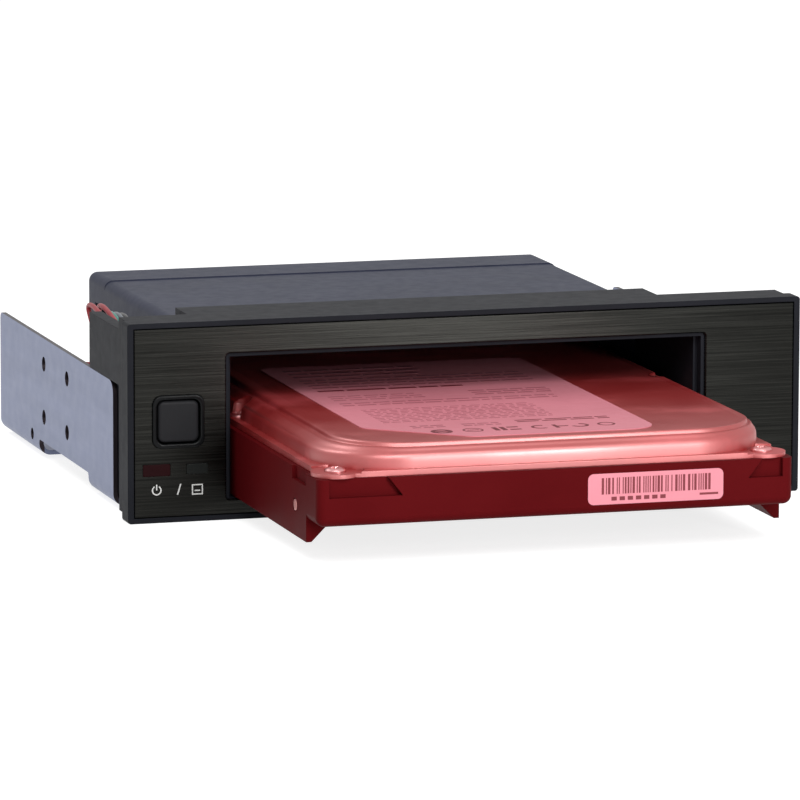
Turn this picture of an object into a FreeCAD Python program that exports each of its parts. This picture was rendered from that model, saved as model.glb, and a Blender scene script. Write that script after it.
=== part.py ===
import FreeCAD, Part
import math
import os
import re
import Sketcher

# Hot swap drive cage for a 5.25 inch bay, with one docked 3.5 inch drive.
# Local frame of every sub-part: X to the right, Y from the bezel's front face (0) to the rear,
# Z up from the bezel's bottom edge (0). Each sub-part's Placement then moves it along Y, so that
# the origin of the whole part is the middle of its box, at the bottom. Lengths are millimetres.

SIZES = {
    # used everywhere: fit between seated parts, overlap of joined features, reach of a cut past a face
    "seat_gap": 0.05,
    "weld": 0.2,
    "past": 1.0,
    "head_gap": 0.3,
    "way_gap": 0.15,
    "small_round": 0.5,
    # bezel moulding
    "bezel_width": 148.6,
    "bezel_height": 42.3,
    "bezel_round": 0.7,
    "flange_depth": 5.0,
    "shoulder_inset": 1.3,
    "shoulder_lift": 0.9,
    "shoulder_depth": 12.5,
    "bezel_wall": 1.8,
    "collar_wall": 1.6,
    "collar_top": 38.9,
    "collar_depth": 42.0,
    "hood_rebate": 6.0,
    # left ear: the open pocket that holds the switch board
    "ear_back": 37.5,
    "ear_top": 39.5,
    "ear_wall": 1.6,
    "ear_rear_top": 33.0,
    "right_ear_back": 30.0,
    "right_ear_top": 26.0,
    # slot and passage for the drive
    "slot_width": 106.0,
    "slot_top": 35.3,
    "slot_round": 0.8,
    "slot_edge": 0.25,
    "mouth_depth": 3.2,
    "passage_gap": 0.5,
    "passage_top": 34.5,
    # aluminium face
    "face_thickness": 0.8,
    "face_margin": 1.1,
    # push button
    "button_offset": 0.25,
    "button_z": 21.4,
    "surround_size": 11.2,
    "surround_round": 2.0,
    "surround_proud": 0.6,
    "surround_depth": 6.4,
    "cap_size": 8.8,
    "cap_round": 1.4,
    "cap_gap": 0.3,
    "cap_proud": 0.4,
    "cap_crown": 0.35,
    "cap_depth": 5.6,
    "cap_wall": 1.2,
    "stem_size": 3.2,
    "stem_socket_floor": 1.0,
    "stem_room": 0.6,
    "button_travel": 1.6,
    # indicator windows
    "window_z": 11.2,
    "power_window_left": 4.7,
    "power_window_width": 5.9,
    "power_window_height": 2.5,
    "access_window_right": 4.1,
    "access_window_width": 4.6,
    "access_window_height": 2.1,
    "window_proud": 0.1,
    "window_depth": 4.6,
    "window_round": 0.35,
    # switch board
    "front_board_y": 15.0,
    "front_board_left": 6.4,
    "front_board_right": 8.4,
    "front_board_low": 5.2,
    "front_board_top": 34.0,
    "board_thickness": 1.6,
    "switch_size": 8.5,
    "switch_depth": 4.2,
    "emitter_radius": 1.5,
    "emitter_depth": 8.6,
    "emitter_flange_depth": 4.0,
    "emitter_flange_thickness": 1.0,
    "emitter_flange_lip": 0.35,
    "front_post_inset": 2.6,
    "post_pilot_depth": 5.0,
    "post_screw_depth": 4.0,
    "post_radius": 2.2,
    "small_screw_radius": 0.9,
    "small_head_radius": 1.7,
    "small_head_height": 1.1,
    # steel bracket
    "bracket_inset": 1.3,
    "bracket_low": 0.8,
    "sheet_thickness": 1.0,
    "bend_radius": 1.6,
    "wing_top": 27.5,
    "wing_front": 17.5,
    "wing_overhang": 1.5,
    "wing_corner": 3.0,
    "wing_rear_corner": 1.5,
    "scallop_front": 39.0,
    "scallop_back": 83.5,
    "scallop_top": 4.4,
    "scallop_reach": 7.0,
    "scallop_round": 0.9,
    "bay_hole_radius": 1.65,
    "bay_hole_front": 58.0,
    "bay_hole_pitch": 21.0,
    "bay_hole_low": 10.0,
    "bay_hole_rise": 11.8,
    "locator_radius": 1.3,
    "locator_y": 90.0,
    "locator_z": 4.6,
    "floor_window_half": 34.0,
    "floor_window_front": 50.0,
    "floor_window_back": 82.0,
    "floor_window_round": 5.0,
    "floor_window_rim": 2.0,
    # housing
    "housing_width": 106.0,
    "dock_space": 33.5,
    "shell_wall": 1.4,
    "base_floor": 1.6,
    "base_top": 30.0,
    "lap_height": 1.4,
    "lap_gap": 0.1,
    "cover_top": 35.8,
    "cover_round": 2.0,
    "cover_strip_rise": 0.25,
    "cover_strip_length": 15.0,
    "cover_tongue": 1.25,
    "runner_inner": 43.0,
    "runner_outer": 49.0,
    "notch_front": 22.5,
    "notch_back": 6.5,
    "notch_low": 15.0,
    "cover_post_inset": 3.4,
    "cover_post_drop": 3.0,
    "cover_post_wall": 0.8,
    "board_post_wall": 0.4,
    "cover_screw_bite": 2.0,
    # docked drive
    "drive_width": 101.6,
    "drive_length": 147.0,
    "drive_height": 20.0,
    "drive_out": 62.0,
    "drive_lift": 4.6,
    "drive_gap": 0.3,
    "rail_setback": 8.6,
    "rail_height": 4.3,
    "rail_foot": 1.1,
    "casting_top": 14.1,
    "casting_round": 1.8,
    "casting_edge": 0.35,
    "casting_wall": 5.4,
    "casting_floor": 3.2,
    "side_hole_radius": 1.4,
    "side_hole_rise": 6.35,
    "side_hole_front": 16.9,
    "side_hole_pitch": 101.6,
    "side_hole_depth": 4.0,
    "corner_pocket_depth": 1.3,
    "corner_pocket_height": 3.8,
    "left_pocket_width": 15.5,
    "right_pocket_width": 7.4,
    "pocket_edge": 2.4,
    "pocket_slant": 3.0,
    "side_notch_front": 9.0,
    "side_notch_back": 19.0,
    "side_notch_height": 2.6,
    "side_notch_depth": 0.8,
    "lid_thickness": 1.2,
    "lid_inset": 1.4,
    "lid_rear_inset": 3.4,
    "lid_left_step": 2.25,
    "lid_right_step": 0.95,
    "lid_front_step": 1.2,
    "lid_rear_step": 3.0,
    "lid_first_rise": 2.3,
    "lid_second_rise": 1.4,
    "lid_round": 15.0,
    "lid_flange_round": 9.0,
    "lid_edge_round": 0.5,
    "lid_recess": 2.0,
    "lid_recess_inset": 7.0,
    "lobe_radius": 5.0,
    "lobe_thickness": 0.8,
    "lobe_front": 5.5,
    "lobe_side": 5.2,
    "lobe_gap": 0.9,
    "lid_screw_radius": 0.8,
    "lid_screw_length": 4.2,
    "lid_head_radius": 2.2,
    "lid_head_height": 0.8,
    "middle_screw_side": 3.6,
    "middle_screw_gap": 0.7,
    "drive_board_thickness": 1.2,
    "drive_board_lift": 1.6,
    "drive_board_width": 84.0,
    "drive_board_length": 62.0,
    "drive_board_gap": 1.0,
    "drive_board_cover": 1.2,
    "plug_board_gap": 0.4,
    "motor_radius": 15.0,
    "motor_gap": 1.0,
    "motor_proud": 1.4,
    "chamber_round": 8.0,
    "label_thickness": 0.15,
    "label_left": 34.4,
    "label_right": 24.6,
    "label_front": 8.6,
    "label_length": 96.0,
    "label_round": 3.0,
    "label_front_round": 6.0,
    "label_cut_width": 19.0,
    "label_cut_length": 16.0,
    "end_label_x": 20.9,
    "end_label_width": 29.1,
    "end_label_height": 6.4,
    "end_label_rise": 9.5,
    "end_label_round": 1.2,
    # data and power connection
    "plug_offset": 33.4,
    "plug_width": 42.4,
    "plug_height": 6.4,
    "plug_depth": 8.0,
    "plug_wall": 1.0,
    "plug_lift": 0.5,
    "cavity_depth": 6.2,
    "tongue_thickness": 1.2,
    "tongue_gap": 0.5,
    "data_tongue": 10.4,
    "power_tongue": 21.0,
    "tongue_space": 3.4,
    "contact_pitch": 1.27,
    "contact_width": 0.7,
    "contact_thickness": 0.12,
    "contact_first": 1.39,
    "plug_contact_front": 5.4,
    "plug_contact_rear": 0.8,
    "socket_contact_front": 3.5,
    "tongue_root": 0.5,
    "tongue_end": 0.6,
    # dock board behind the drive
    "dock_board_gap": 2.2,
    "dock_board_half": 47.0,
    "dock_board_lift": 4.4,
    "dock_board_end": 0.6,
    "dock_screw_inset": 3.2,
    "dock_screw_rear": 9.5,
    "dock_corner_width": 8.0,
    "dock_corner_length": 6.2,
    "dock_screw_bite": 1.6,
    "dock_pilot_depth": 2.0,
    "capacitor_radius": 3.1,
    "capacitor_height": 7.2,
    "chip_width": 7.0,
    "chip_length": 5.0,
    "chip_height": 1.5,
    "chip_front": 11.0,
    "receptacle_height": 8.2,
    "receptacle_depth": 9.0,
    "data_port_x": -14.0,
    "data_port_width": 16.6,
    "data_port_height": 6.4,
    "data_port_depth": 9.0,
    "power_port_x": 20.0,
    "power_port_width": 26.6,
    "power_port_height": 7.4,
    "power_port_depth": 10.5,
    "port_gap": 0.4,
    "port_wall": 1.0,
    "port_floor": 2.0,
    "port_recess": 0.3,
    "port_tongue_inset": 2.4,
    "port_tongue_end": 0.8,
    "receptacle_cheek": 1.0,
    "header_x": -38.0,
    "header_width": 12.0,
    "header_front": 19.5,
    "header_depth": 5.6,
    "header_height": 7.0,
    "header_wall": 0.8,
    "header_floor": 2.0,
    "front_header_low": 20.0,
    # fasteners and wires
    "screw_radius": 1.4,
    "screw_head_radius": 2.7,
    "screw_head_height": 0.7,
    "screw_length": 2.4,
    "bracket_screw_x": 30.0,
    "bracket_screw_y": 24.0,
    # wires
    "wire_radius": 0.55,
    "wire_pitch": 2.1,
    "wire_side_gap": 2.9,
    "wire_loop_pitch": 1.3,
    "wire_loop_space": 1.1,
    "wire_loop_top": 38.8,
    "wire_loop_fall": 0.25,
    "wire_loop_back": 17.5,
    "wire_loop_lean": 6.0,
    "wire_loop_drop": 9.0,
    "wire_low": 16.6,
    "wire_low_rise": 0.5,
    "wire_end_gap": 1.0,
    "wire_turn_room": 2.0,
}

doc = FreeCAD.newDocument("hot_swap_cage")
sheet = doc.addObject("Spreadsheet::Sheet", "Sizes")
for row, (alias, number) in enumerate(SIZES.items(), 1):
    sheet.set("B%d" % row, str(number))
    sheet.setAlias("B%d" % row, alias)
doc.recompute()

# Values that several sub-parts share, each written from the sheet's sizes.
SHARED = {
    "SHOULDER": "(bezel_width / 2 - shoulder_inset)",
    "FRONT_WALL": "(face_thickness + bezel_wall)",
    "PASSAGE": "(drive_width / 2 + passage_gap)",
    "PASSAGE_LOW": "(drive_lift - drive_gap)",
    "COLLAR": "(drive_width / 2 + passage_gap + collar_wall)",
    "FLOOR_TOP": "(bracket_low + sheet_thickness)",
    "BUTTON_X": "(button_offset - (slot_width + bezel_width) / 4)",
    "WING": "(bezel_width / 2 - bracket_inset)",
    "WING_IN": "(bezel_width / 2 - bracket_inset - sheet_thickness)",
    "HOUSE": "(housing_width / 2)",
    "HOUSE_IN": "(housing_width / 2 - shell_wall)",
    "BASE_FLOOR_TOP": "(bracket_low + sheet_thickness + base_floor)",
    "DRIVE_FRONT": "(-drive_out)",
    "DRIVE_BACK": "(drive_length - drive_out)",
    "DRIVE_HALF": "(drive_width / 2)",
    "HOUSING_BACK": "(drive_length - drive_out + dock_space)",
    "MOTOR_Y": "(drive_length - drive_out - drive_board_length - motor_radius - motor_gap)",
    "HEADER_Y": "(drive_length - drive_out + dock_space - header_front)",
    "FLANGE_TOP": "(drive_lift + casting_top + lid_thickness)",
    "LOBE_TOP": "(drive_lift + casting_top + lobe_thickness)",
    "LID_TOP": "(drive_lift + drive_height)",
    "CASTING_TOP": "(drive_lift + casting_top)",
    "PLUG_X": "(drive_width / 2 - plug_offset)",
    "PLUG_LOW": "(drive_lift + plug_lift)",
    "PLUG_MID": "(drive_lift + plug_lift + plug_height / 2)",
    "BOARD_FRONT": "(drive_length - drive_out + dock_board_gap)",
    "BOARD_BACK": "(drive_length - drive_out + dock_space - shell_wall - dock_board_end)",
    "BOARD_TOP": "(dock_board_lift + board_thickness)",
}
SHIFT = "(2 * drive_out + label_thickness - drive_length - dock_space - wing_overhang) / 2"


def bound(text):
    """The expression text with its names replaced by references to the sheet."""
    for name in sorted(SHARED, key=len, reverse=True):
        text = re.sub(r"\b%s\b" % name, SHARED[name], text)
    return re.sub(r"[a-z][a-z_]+[a-z]", lambda found: "Sizes." + found.group(0), text)


def value(text):
    """The number that an expression text has now."""
    return float(sheet.evalExpression(bound(text)))


# ---------------------------------------------------------------- sketches

def rectangle(x_low, x_high, y_low, y_high, radius=None):
    corners = [(x_low, y_low), (x_high, y_low), (x_high, y_high), (x_low, y_high)]
    return [(x, y, radius) for x, y in corners]


def centred(x, y, width, height, radius=None):
    half_x = "(%s) / 2" % width
    half_y = "(%s) / 2" % height
    return rectangle("%s - %s" % (x, half_x), "%s + %s" % (x, half_x),
                     "%s - %s" % (y, half_y), "%s + %s" % (y, half_y), radius)


def circle(x, y, radius):
    return (x, y, radius)


def named(sketch, constraint, name, text):
    """Adds a constraint and binds it to an expression."""
    index = sketch.addConstraint(constraint)
    sketch.renameConstraint(index, name)
    sketch.setExpression("Constraints." + name, bound(text))


def pin_point(sketch, geometry, point, x, y, name):
    """Ties a sketch point to its place from the origin."""
    named(sketch, Sketcher.Constraint("DistanceX", -1, 1, geometry, point, value(x)), name + "x", x)
    named(sketch, Sketcher.Constraint("DistanceY", -1, 1, geometry, point, value(y)), name + "y", y)


def draw_circle(sketch, x, y, radius, name):
    centre = FreeCAD.Vector(value(x), value(y), 0)
    index = sketch.addGeometry(Part.Circle(centre, FreeCAD.Vector(0, 0, 1), value(radius)))
    pin_point(sketch, index, 3, x, y, name)
    named(sketch, Sketcher.Constraint("Radius", index, value(radius)), name + "r", radius)


def draw_polygon(sketch, corners, name):
    """Straight sides through the corners; a corner with a radius gets a tangent arc."""
    count = len(corners)
    points = [FreeCAD.Vector(value(x), value(y), 0) for x, y, r in corners]
    starts = []
    ends = []
    arcs = []
    for i, (x, y, radius) in enumerate(corners):
        here = points[i]
        if radius is None:
            starts.append(here)
            ends.append(here)
            arcs.append(None)
            continue
        back = (points[i - 1] - here).normalize()
        ahead = (points[(i + 1) % count] - here).normalize()
        half = back.getAngle(ahead) / 2
        reach = value(radius) / math.tan(half)
        first = here + back * reach
        last = here + ahead * reach
        centre = here + (back + ahead).normalize() * (value(radius) / math.sin(half))
        turns_left = back.cross(ahead).z < 0
        low, high = (first, last) if turns_left else (last, first)
        angles = [math.atan2(end.y - centre.y, end.x - centre.x) for end in (low, high)]
        ends.append(first)
        starts.append(last)
        disc = Part.Circle(centre, FreeCAD.Vector(0, 0, 1), value(radius))
        arcs.append((Part.ArcOfCircle(disc, *angles), 1 if turns_left else 2))
    lines = []
    for i in range(count):
        side = Part.LineSegment(starts[i], ends[(i + 1) % count])
        lines.append(sketch.addGeometry(side))
    for i, (x, y, radius) in enumerate(corners):
        before = lines[i - 1]
        after = lines[i]
        label = "%sc%d" % (name, i)
        if radius is None:
            sketch.addConstraint(Sketcher.Constraint("Coincident", before, 2, after, 1))
            pin_point(sketch, after, 1, x, y, label)
            continue
        curve, first_end = arcs[i]
        arc = sketch.addGeometry(curve)
        sketch.addConstraint(Sketcher.Constraint("Tangent", before, 2, arc, first_end))
        sketch.addConstraint(Sketcher.Constraint("Tangent", after, 1, arc, 3 - first_end))
        named(sketch, Sketcher.Constraint("Radius", arc, value(radius)), label + "r", radius)
        corner = sketch.addGeometry(Part.Point(points[i]), True)
        pin_point(sketch, corner, 1, x, y, label)
        sketch.addConstraint(Sketcher.Constraint("PointOnObject", corner, 1, before))
        sketch.addConstraint(Sketcher.Constraint("PointOnObject", corner, 1, after))


def new_sketch(body, plane, level, loops, name):
    """A sketch parallel to an origin plane of its own body, at the given level on that plane's normal."""
    role = plane + "_Plane"
    support = [item for item in body.Origin.OriginFeatures if item.Role == role][0]
    sketch = body.newObject("Sketcher::SketchObject", name)
    sketch.AttachmentSupport = [(support, "")]
    sketch.MapMode = "FlatFace"
    sketch.setExpression("AttachmentOffset.Base.z", bound(level))
    for i, loop in enumerate(loops):
        if isinstance(loop, tuple):
            draw_circle(sketch, *loop, "l%d" % i)
        else:
            draw_polygon(sketch, loop, "l%d" % i)
    doc.recompute()
    return sketch


# ---------------------------------------------------------------- features

def new_body(name):
    body = doc.addObject("PartDesign::Body", name)
    body.Label = name
    return body


def pad(body, plane, low, high, loops, name, taper=0):
    """Adds material between two levels along the plane's axis (XY: Z, XZ: Y, YZ: X)."""
    level = "-(%s)" % high if plane == "XZ" else low
    sketch = new_sketch(body, plane, level, loops, name + "_outline")
    feature = body.newObject("PartDesign::Pad", name)
    feature.Profile = sketch
    feature.setExpression("Length", bound("(%s) - (%s)" % (high, low)))
    feature.TaperAngle = taper
    doc.recompute()
    return feature


def pocket(body, plane, low, high, loops, name):
    """Removes material between two levels along the plane's axis, and checks that it did."""
    before = body.Shape.Volume
    level = "-(%s)" % low if plane == "XZ" else high
    sketch = new_sketch(body, plane, level, loops, name + "_outline")
    feature = body.newObject("PartDesign::Pocket", name)
    feature.Profile = sketch
    feature.setExpression("Length", bound("(%s) - (%s)" % (high, low)))
    doc.recompute()
    if body.Shape.Volume > before - 1e-6:
        raise RuntimeError("pocket %s removes nothing" % name)
    return feature


def edges(body, test):
    """Names of the body's edges whose middle point and direction pass the test."""
    names = []
    for i, edge in enumerate(body.Tip.Shape.Edges, 1):
        middle = edge.valueAt((edge.FirstParameter + edge.LastParameter) / 2)
        span = edge.valueAt(edge.LastParameter) - edge.valueAt(edge.FirstParameter)
        if test(middle, span):
            names.append("Edge%d" % i)
    return names


def soften(body, kind, size, test, name):
    """Fillet (kind Fillet) or chamfer (kind Chamfer) on the edges that pass the test."""
    tip = body.Tip
    chosen = edges(body, test)
    feature = body.newObject("PartDesign::" + kind, name)
    feature.Base = (tip, chosen)
    feature.setExpression("Radius" if kind == "Fillet" else "Size", bound(size))
    doc.recompute()
    return feature


def near(a, b):
    return abs(a - b) < 1e-3


# ---------------------------------------------------------------- primitives

def place(item, x, y, z):
    for axis, text in zip("xyz", (x, y, z)):
        item.setExpression("Placement.Base." + axis, bound(text))


def block(name, x_low, x_high, y_low, y_high, z_low, z_high):
    item = doc.addObject("Part::Box", name)
    item.setExpression("Length", bound("(%s) - (%s)" % (x_high, x_low)))
    item.setExpression("Width", bound("(%s) - (%s)" % (y_high, y_low)))
    item.setExpression("Height", bound("(%s) - (%s)" % (z_high, z_low)))
    place(item, x_low, y_low, z_low)
    return item


TURN = {
    "z": FreeCAD.Rotation(),
    "-z": FreeCAD.Rotation(FreeCAD.Vector(1, 0, 0), 180),
    "y": FreeCAD.Rotation(FreeCAD.Vector(1, 0, 0), -90),
    "-y": FreeCAD.Rotation(FreeCAD.Vector(1, 0, 0), 90),
}


def rod(name, way, x, y, z, radius, length):
    """A cylinder from the point x, y, z in the direction way."""
    item = doc.addObject("Part::Cylinder", name)
    item.Placement = FreeCAD.Placement(FreeCAD.Vector(), TURN[way])
    item.setExpression("Radius", bound(radius))
    item.setExpression("Height", bound(length))
    place(item, x, y, z)
    return item


def fuse(name, items):
    item = doc.addObject("Part::MultiFuse", name)
    item.Shapes = items
    return item


def cut(name, base, tool):
    item = doc.addObject("Part::Cut", name)
    item.Base = base
    item.Tool = tool
    return item


def group(name, items):
    """Separate solids in one node."""
    item = doc.addObject("Part::Compound", name)
    item.Label = name
    item.Links = items
    return item


def screw(name, way, x, y, z, radius, length, head_radius, head_height):
    """A screw whose head rests at x, y, z; way is where its shank points."""
    back = {"z": "-z", "-z": "z", "y": "-y", "-y": "y"}[way]
    shank = rod(name + "_shank", way, x, y, z, radius, length)
    head = rod(name + "_head", back, x, y, z, head_radius, head_height)
    solid = fuse(name + "_solid", [shank, head])
    sink = "(%s) * 0.6" % head_height
    rise = "(%s) - %s" % (head_height, sink)
    offset = {"z": (y, "%s - (%s)" % (z, rise)), "-z": (y, "%s + (%s)" % (z, rise)),
              "y": ("%s - (%s)" % (y, rise), z), "-y": ("%s + (%s)" % (y, rise), z)}[way]
    recess = rod(name + "_recess", back, x, offset[0], offset[1], "(%s) * 0.45" % head_radius, head_height)
    return cut(name, solid, recess)


# ---------------------------------------------------------------- bezel

def front_bezel():
    """Moulded front: flange, shoulder, the long collar round the slot and two ears."""
    body = new_body("front_bezel")
    pad(body, "XZ", "0", "flange_depth",
        [rectangle("-bezel_width / 2", "bezel_width / 2", "0", "bezel_height", "bezel_round")], "flange")
    shoulder_top = "bezel_height - shoulder_lift / 3"
    pad(body, "XZ", "0", "shoulder_depth",
        [rectangle("-SHOULDER", "SHOULDER", "shoulder_lift", shoulder_top)], "shoulder")
    pocket(body, "XZ", "FRONT_WALL", "shoulder_depth",
           [rectangle("-SHOULDER + bezel_wall", "SHOULDER - bezel_wall",
                      "shoulder_lift + bezel_wall", shoulder_top + " - bezel_wall")], "hollow")
    pad(body, "XZ", "face_thickness", "collar_depth",
        [rectangle("-COLLAR", "COLLAR", "FLOOR_TOP", "collar_top")], "collar")
    bezel_ears(body)
    pocket(body, "XZ", "0", "collar_depth",
           [rectangle("-PASSAGE", "PASSAGE", "PASSAGE_LOW", "passage_top")], "passage")
    pocket(body, "XZ", "collar_depth - hood_rebate", "collar_depth",
           [rectangle("-PASSAGE", "PASSAGE", "passage_top - past", "cover_top + seat_gap")], "hood_rebate_cut")
    pocket(body, "XZ", "0", "mouth_depth",
           [rectangle("-slot_width / 2 + slot_round", "slot_width / 2 - slot_round",
                      "PASSAGE_LOW", "slot_top - slot_round")], "mouth")
    pocket(body, "XZ", "0", "face_thickness",
           [rectangle("-SHOULDER", "SHOULDER", "face_margin", "bezel_height - face_margin")], "face_seat")
    openings = [centred("BUTTON_X", "button_z", "surround_size + 2 * seat_gap",
                        "surround_size + 2 * seat_gap", "surround_round + seat_gap")]
    openings += [centred(x, "window_z", w + " + 2 * seat_gap", t + " + 2 * seat_gap") for x, w, t in WINDOWS]
    pocket(body, "XZ", "0", "FRONT_WALL", openings, "front_holes")
    bezel_screw_holes(body)
    return body


WINDOWS = [("BUTTON_X - power_window_left", "power_window_width", "power_window_height"),
           ("BUTTON_X + access_window_right", "access_window_width", "access_window_height")]


def bezel_ears(body):
    """Side pockets behind the shoulder; the left one is taller and holds the switch board."""
    skin = "WING_IN - lap_gap"
    inner = "WING_IN - bend_radius * 0.75"
    low = "FLOOR_TOP + lap_gap"
    bend_top = "FLOOR_TOP + bend_radius"
    front = "shoulder_depth - bezel_wall"
    pad(body, "XY", low, low + " + bezel_wall",
        [rectangle("-(%s)" % inner, "-COLLAR + weld", front, "ear_back"),
         rectangle("COLLAR - weld", inner, front, "right_ear_back")], "ear_floors")
    pad(body, "XY", bend_top, "wing_top + lap_gap",
        [rectangle("-(%s)" % skin, "-(%s) + ear_wall" % skin, front, "ear_back")], "left_ear_lower")
    pad(body, "XY", "wing_top + lap_gap", "ear_top",
        [rectangle("-WING", "-(%s) + ear_wall" % skin, front, "ear_back")], "left_ear_upper")
    pad(body, "XY", low, "ear_rear_top",
        [rectangle("-(%s)" % inner, "-COLLAR + weld", "ear_back - ear_wall", "ear_back")], "left_ear_rear")
    pad(body, "XY", bend_top, "right_ear_top",
        [rectangle("%s - ear_wall" % skin, skin, front, "right_ear_back")], "right_ear_wall")
    posts = [circle(x, z, "post_radius") for x, z in front_posts()]
    pad(body, "XZ", "face_thickness", "front_board_y", posts, "board_posts")


def front_posts():
    """X and Z of the two posts that carry the switch board."""
    return [("BUTTON_X - front_board_left + front_post_inset", "front_board_top - front_post_inset"),
            ("BUTTON_X + front_board_right - front_post_inset", "front_board_top - front_post_inset")]


def bezel_screw_holes(body):
    pilots = [circle(x, z, "small_screw_radius - seat_gap") for x, z in front_posts()]
    pocket(body, "XZ", "front_board_y - post_pilot_depth", "front_board_y", pilots, "post_pilots")
    under = [circle(x, y, "screw_radius") for x, y in bracket_screw_places()[:2]]
    tip = "FLOOR_TOP + screw_length - sheet_thickness + head_gap"
    pocket(body, "XY", "FLOOR_TOP", tip, under, "collar_pilots")


def faceplate():
    """Brushed aluminium face, set into the bezel and cut out for slot, button and windows."""
    body = new_body("faceplate")
    gap = "seat_gap"
    outline = rectangle("-SHOULDER + " + gap, "SHOULDER - " + gap,
                        "face_margin + " + gap, "bezel_height - face_margin - " + gap)
    slot = rectangle("-slot_width / 2", "slot_width / 2", "PASSAGE_LOW", "slot_top", "slot_round")
    button = centred("BUTTON_X", "button_z", "surround_size + 2 * seat_gap",
                     "surround_size + 2 * seat_gap", "surround_round + seat_gap")
    windows = [centred(x, "window_z", w + " + 2 * seat_gap", t + " + 2 * seat_gap") for x, w, t in WINDOWS]
    pad(body, "XZ", "0", "face_thickness", [outline, slot, button] + windows, "plate")
    shortest = value("surround_size")
    soften(body, "Chamfer", "slot_edge",
           lambda middle, span: near(middle.y, 0) and span.Length > shortest, "edge_break")
    return body


# ---------------------------------------------------------------- button and lights

def button_surround():
    body = new_body("button_surround")
    hole = "cap_size + 2 * cap_gap"
    pad(body, "XZ", "-surround_proud", "surround_depth",
        [centred("BUTTON_X", "button_z", "surround_size", "surround_size", "surround_round"),
         centred("BUTTON_X", "button_z", hole, hole, "cap_round + cap_gap")], "tube")
    soften(body, "Fillet", "surround_proud / 2",
           lambda middle, span: near(middle.y, value("-surround_proud")), "rim_round")
    return body


def button_cap():
    """Hollow cap with a crowned face and a socket for the switch stem."""
    body = new_body("button_cap")
    front = "-cap_proud"
    pad(body, "XZ", front, "cap_depth",
        [centred("BUTTON_X", "button_z", "cap_size", "cap_size", "cap_round")], "cap")
    inner = "cap_size - 2 * cap_wall"
    boss = "stem_size + 2 * cap_wall"
    socket = "stem_size + 2 * seat_gap"
    pocket(body, "XZ", front + " + cap_wall + cap_crown", "cap_depth",
           [centred("BUTTON_X", "button_z", inner, inner, "cap_round / 2"),
            centred("BUTTON_X", "button_z", boss, boss)], "cap_hollow")
    pocket(body, "XZ", front + " + cap_wall + cap_crown + stem_socket_floor", "cap_depth",
           [centred("BUTTON_X", "button_z", socket, socket)], "stem_socket")
    soften(body, "Fillet", "cap_crown * 2",
           lambda middle, span: near(middle.y, value(front)), "crown")
    return body


def switch_stem():
    """Moving stem of the switch; the cap presses on it."""
    body = new_body("switch_stem")
    front = "-cap_proud + cap_wall + cap_crown + stem_socket_floor + seat_gap"
    back = "front_board_y - switch_depth + button_travel / 2"
    pad(body, "XZ", front, back, [centred("BUTTON_X", "button_z", "stem_size", "stem_size")], "stem")
    return body


def switch_housing():
    body = new_body("switch_housing")
    front = "front_board_y - switch_depth"
    pad(body, "XZ", front, "front_board_y",
        [centred("BUTTON_X", "button_z", "switch_size", "switch_size", "small_round")], "case")
    bore = "stem_size + 2 * seat_gap"
    pocket(body, "XZ", front, "front_board_y - switch_depth + button_travel * 1.5 + stem_room",
           [centred("BUTTON_X", "button_z", bore, bore)], "stem_bore")
    return body


def light_window(name, x, width, height):
    body = new_body(name)
    pane = centred(x, "window_z", width, height, "window_round")
    pad(body, "XZ", "-window_proud", "window_depth", [pane], "pane")
    return body


def light_emitters():
    """Two round emitters on the board, one behind each window."""
    items = []
    front = "front_board_y - emitter_depth"
    for i, (x, width, height) in enumerate(WINDOWS):
        barrel = rod("emitter_barrel_%d" % i, "y", x, front + " + emitter_radius", "window_z",
                     "emitter_radius", "emitter_depth - emitter_radius")
        dome = doc.addObject("Part::Sphere", "emitter_dome_%d" % i)
        dome.setExpression("Radius", bound("emitter_radius"))
        place(dome, x, front + " + emitter_radius", "window_z")
        collar = rod("emitter_collar_%d" % i, "y", x, "front_board_y - emitter_flange_depth", "window_z",
                     "emitter_radius + emitter_flange_lip", "emitter_flange_thickness")
        items.append(fuse("emitter_%d" % i, [barrel, dome, collar]))
    return group("light_emitters", items)


def front_board():
    body = new_body("front_board")
    back = "front_board_y + board_thickness"
    pad(body, "XZ", "front_board_y", back,
        [rectangle("BUTTON_X - front_board_left", "BUTTON_X + front_board_right", "front_board_low",
                   "front_board_top", "board_thickness / 2")]
        + [circle(x, z, "small_screw_radius + seat_gap") for x, z in front_posts()], "board")
    return body


def front_board_screws():
    back = "front_board_y + board_thickness"
    return group("front_board_screws", [
        screw("front_board_screw_%d" % i, "-y", x, back, z, "small_screw_radius - seat_gap",
              "board_thickness + post_screw_depth", "small_head_radius", "small_head_height")
        for i, (x, z) in enumerate(front_posts())])


def front_wire_header():
    """Five-way header on the back of the switch board, open at the top."""
    body = new_body("front_wire_header")
    back = "front_board_y + board_thickness"
    pad(body, "XZ", back, back + " + header_depth",
        [rectangle("BUTTON_X - header_width / 2", "BUTTON_X + header_width / 2", "front_header_low",
                   "front_header_low + header_height")], "shell")
    pocket(body, "XY", "front_header_low + header_floor", "front_header_low + header_height",
           [rectangle("BUTTON_X - header_width / 2 + header_wall", "BUTTON_X + header_width / 2 - header_wall",
                      back + " + header_wall", back + " + header_depth - header_wall")], "mouth")
    return body


# ---------------------------------------------------------------- bracket

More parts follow.
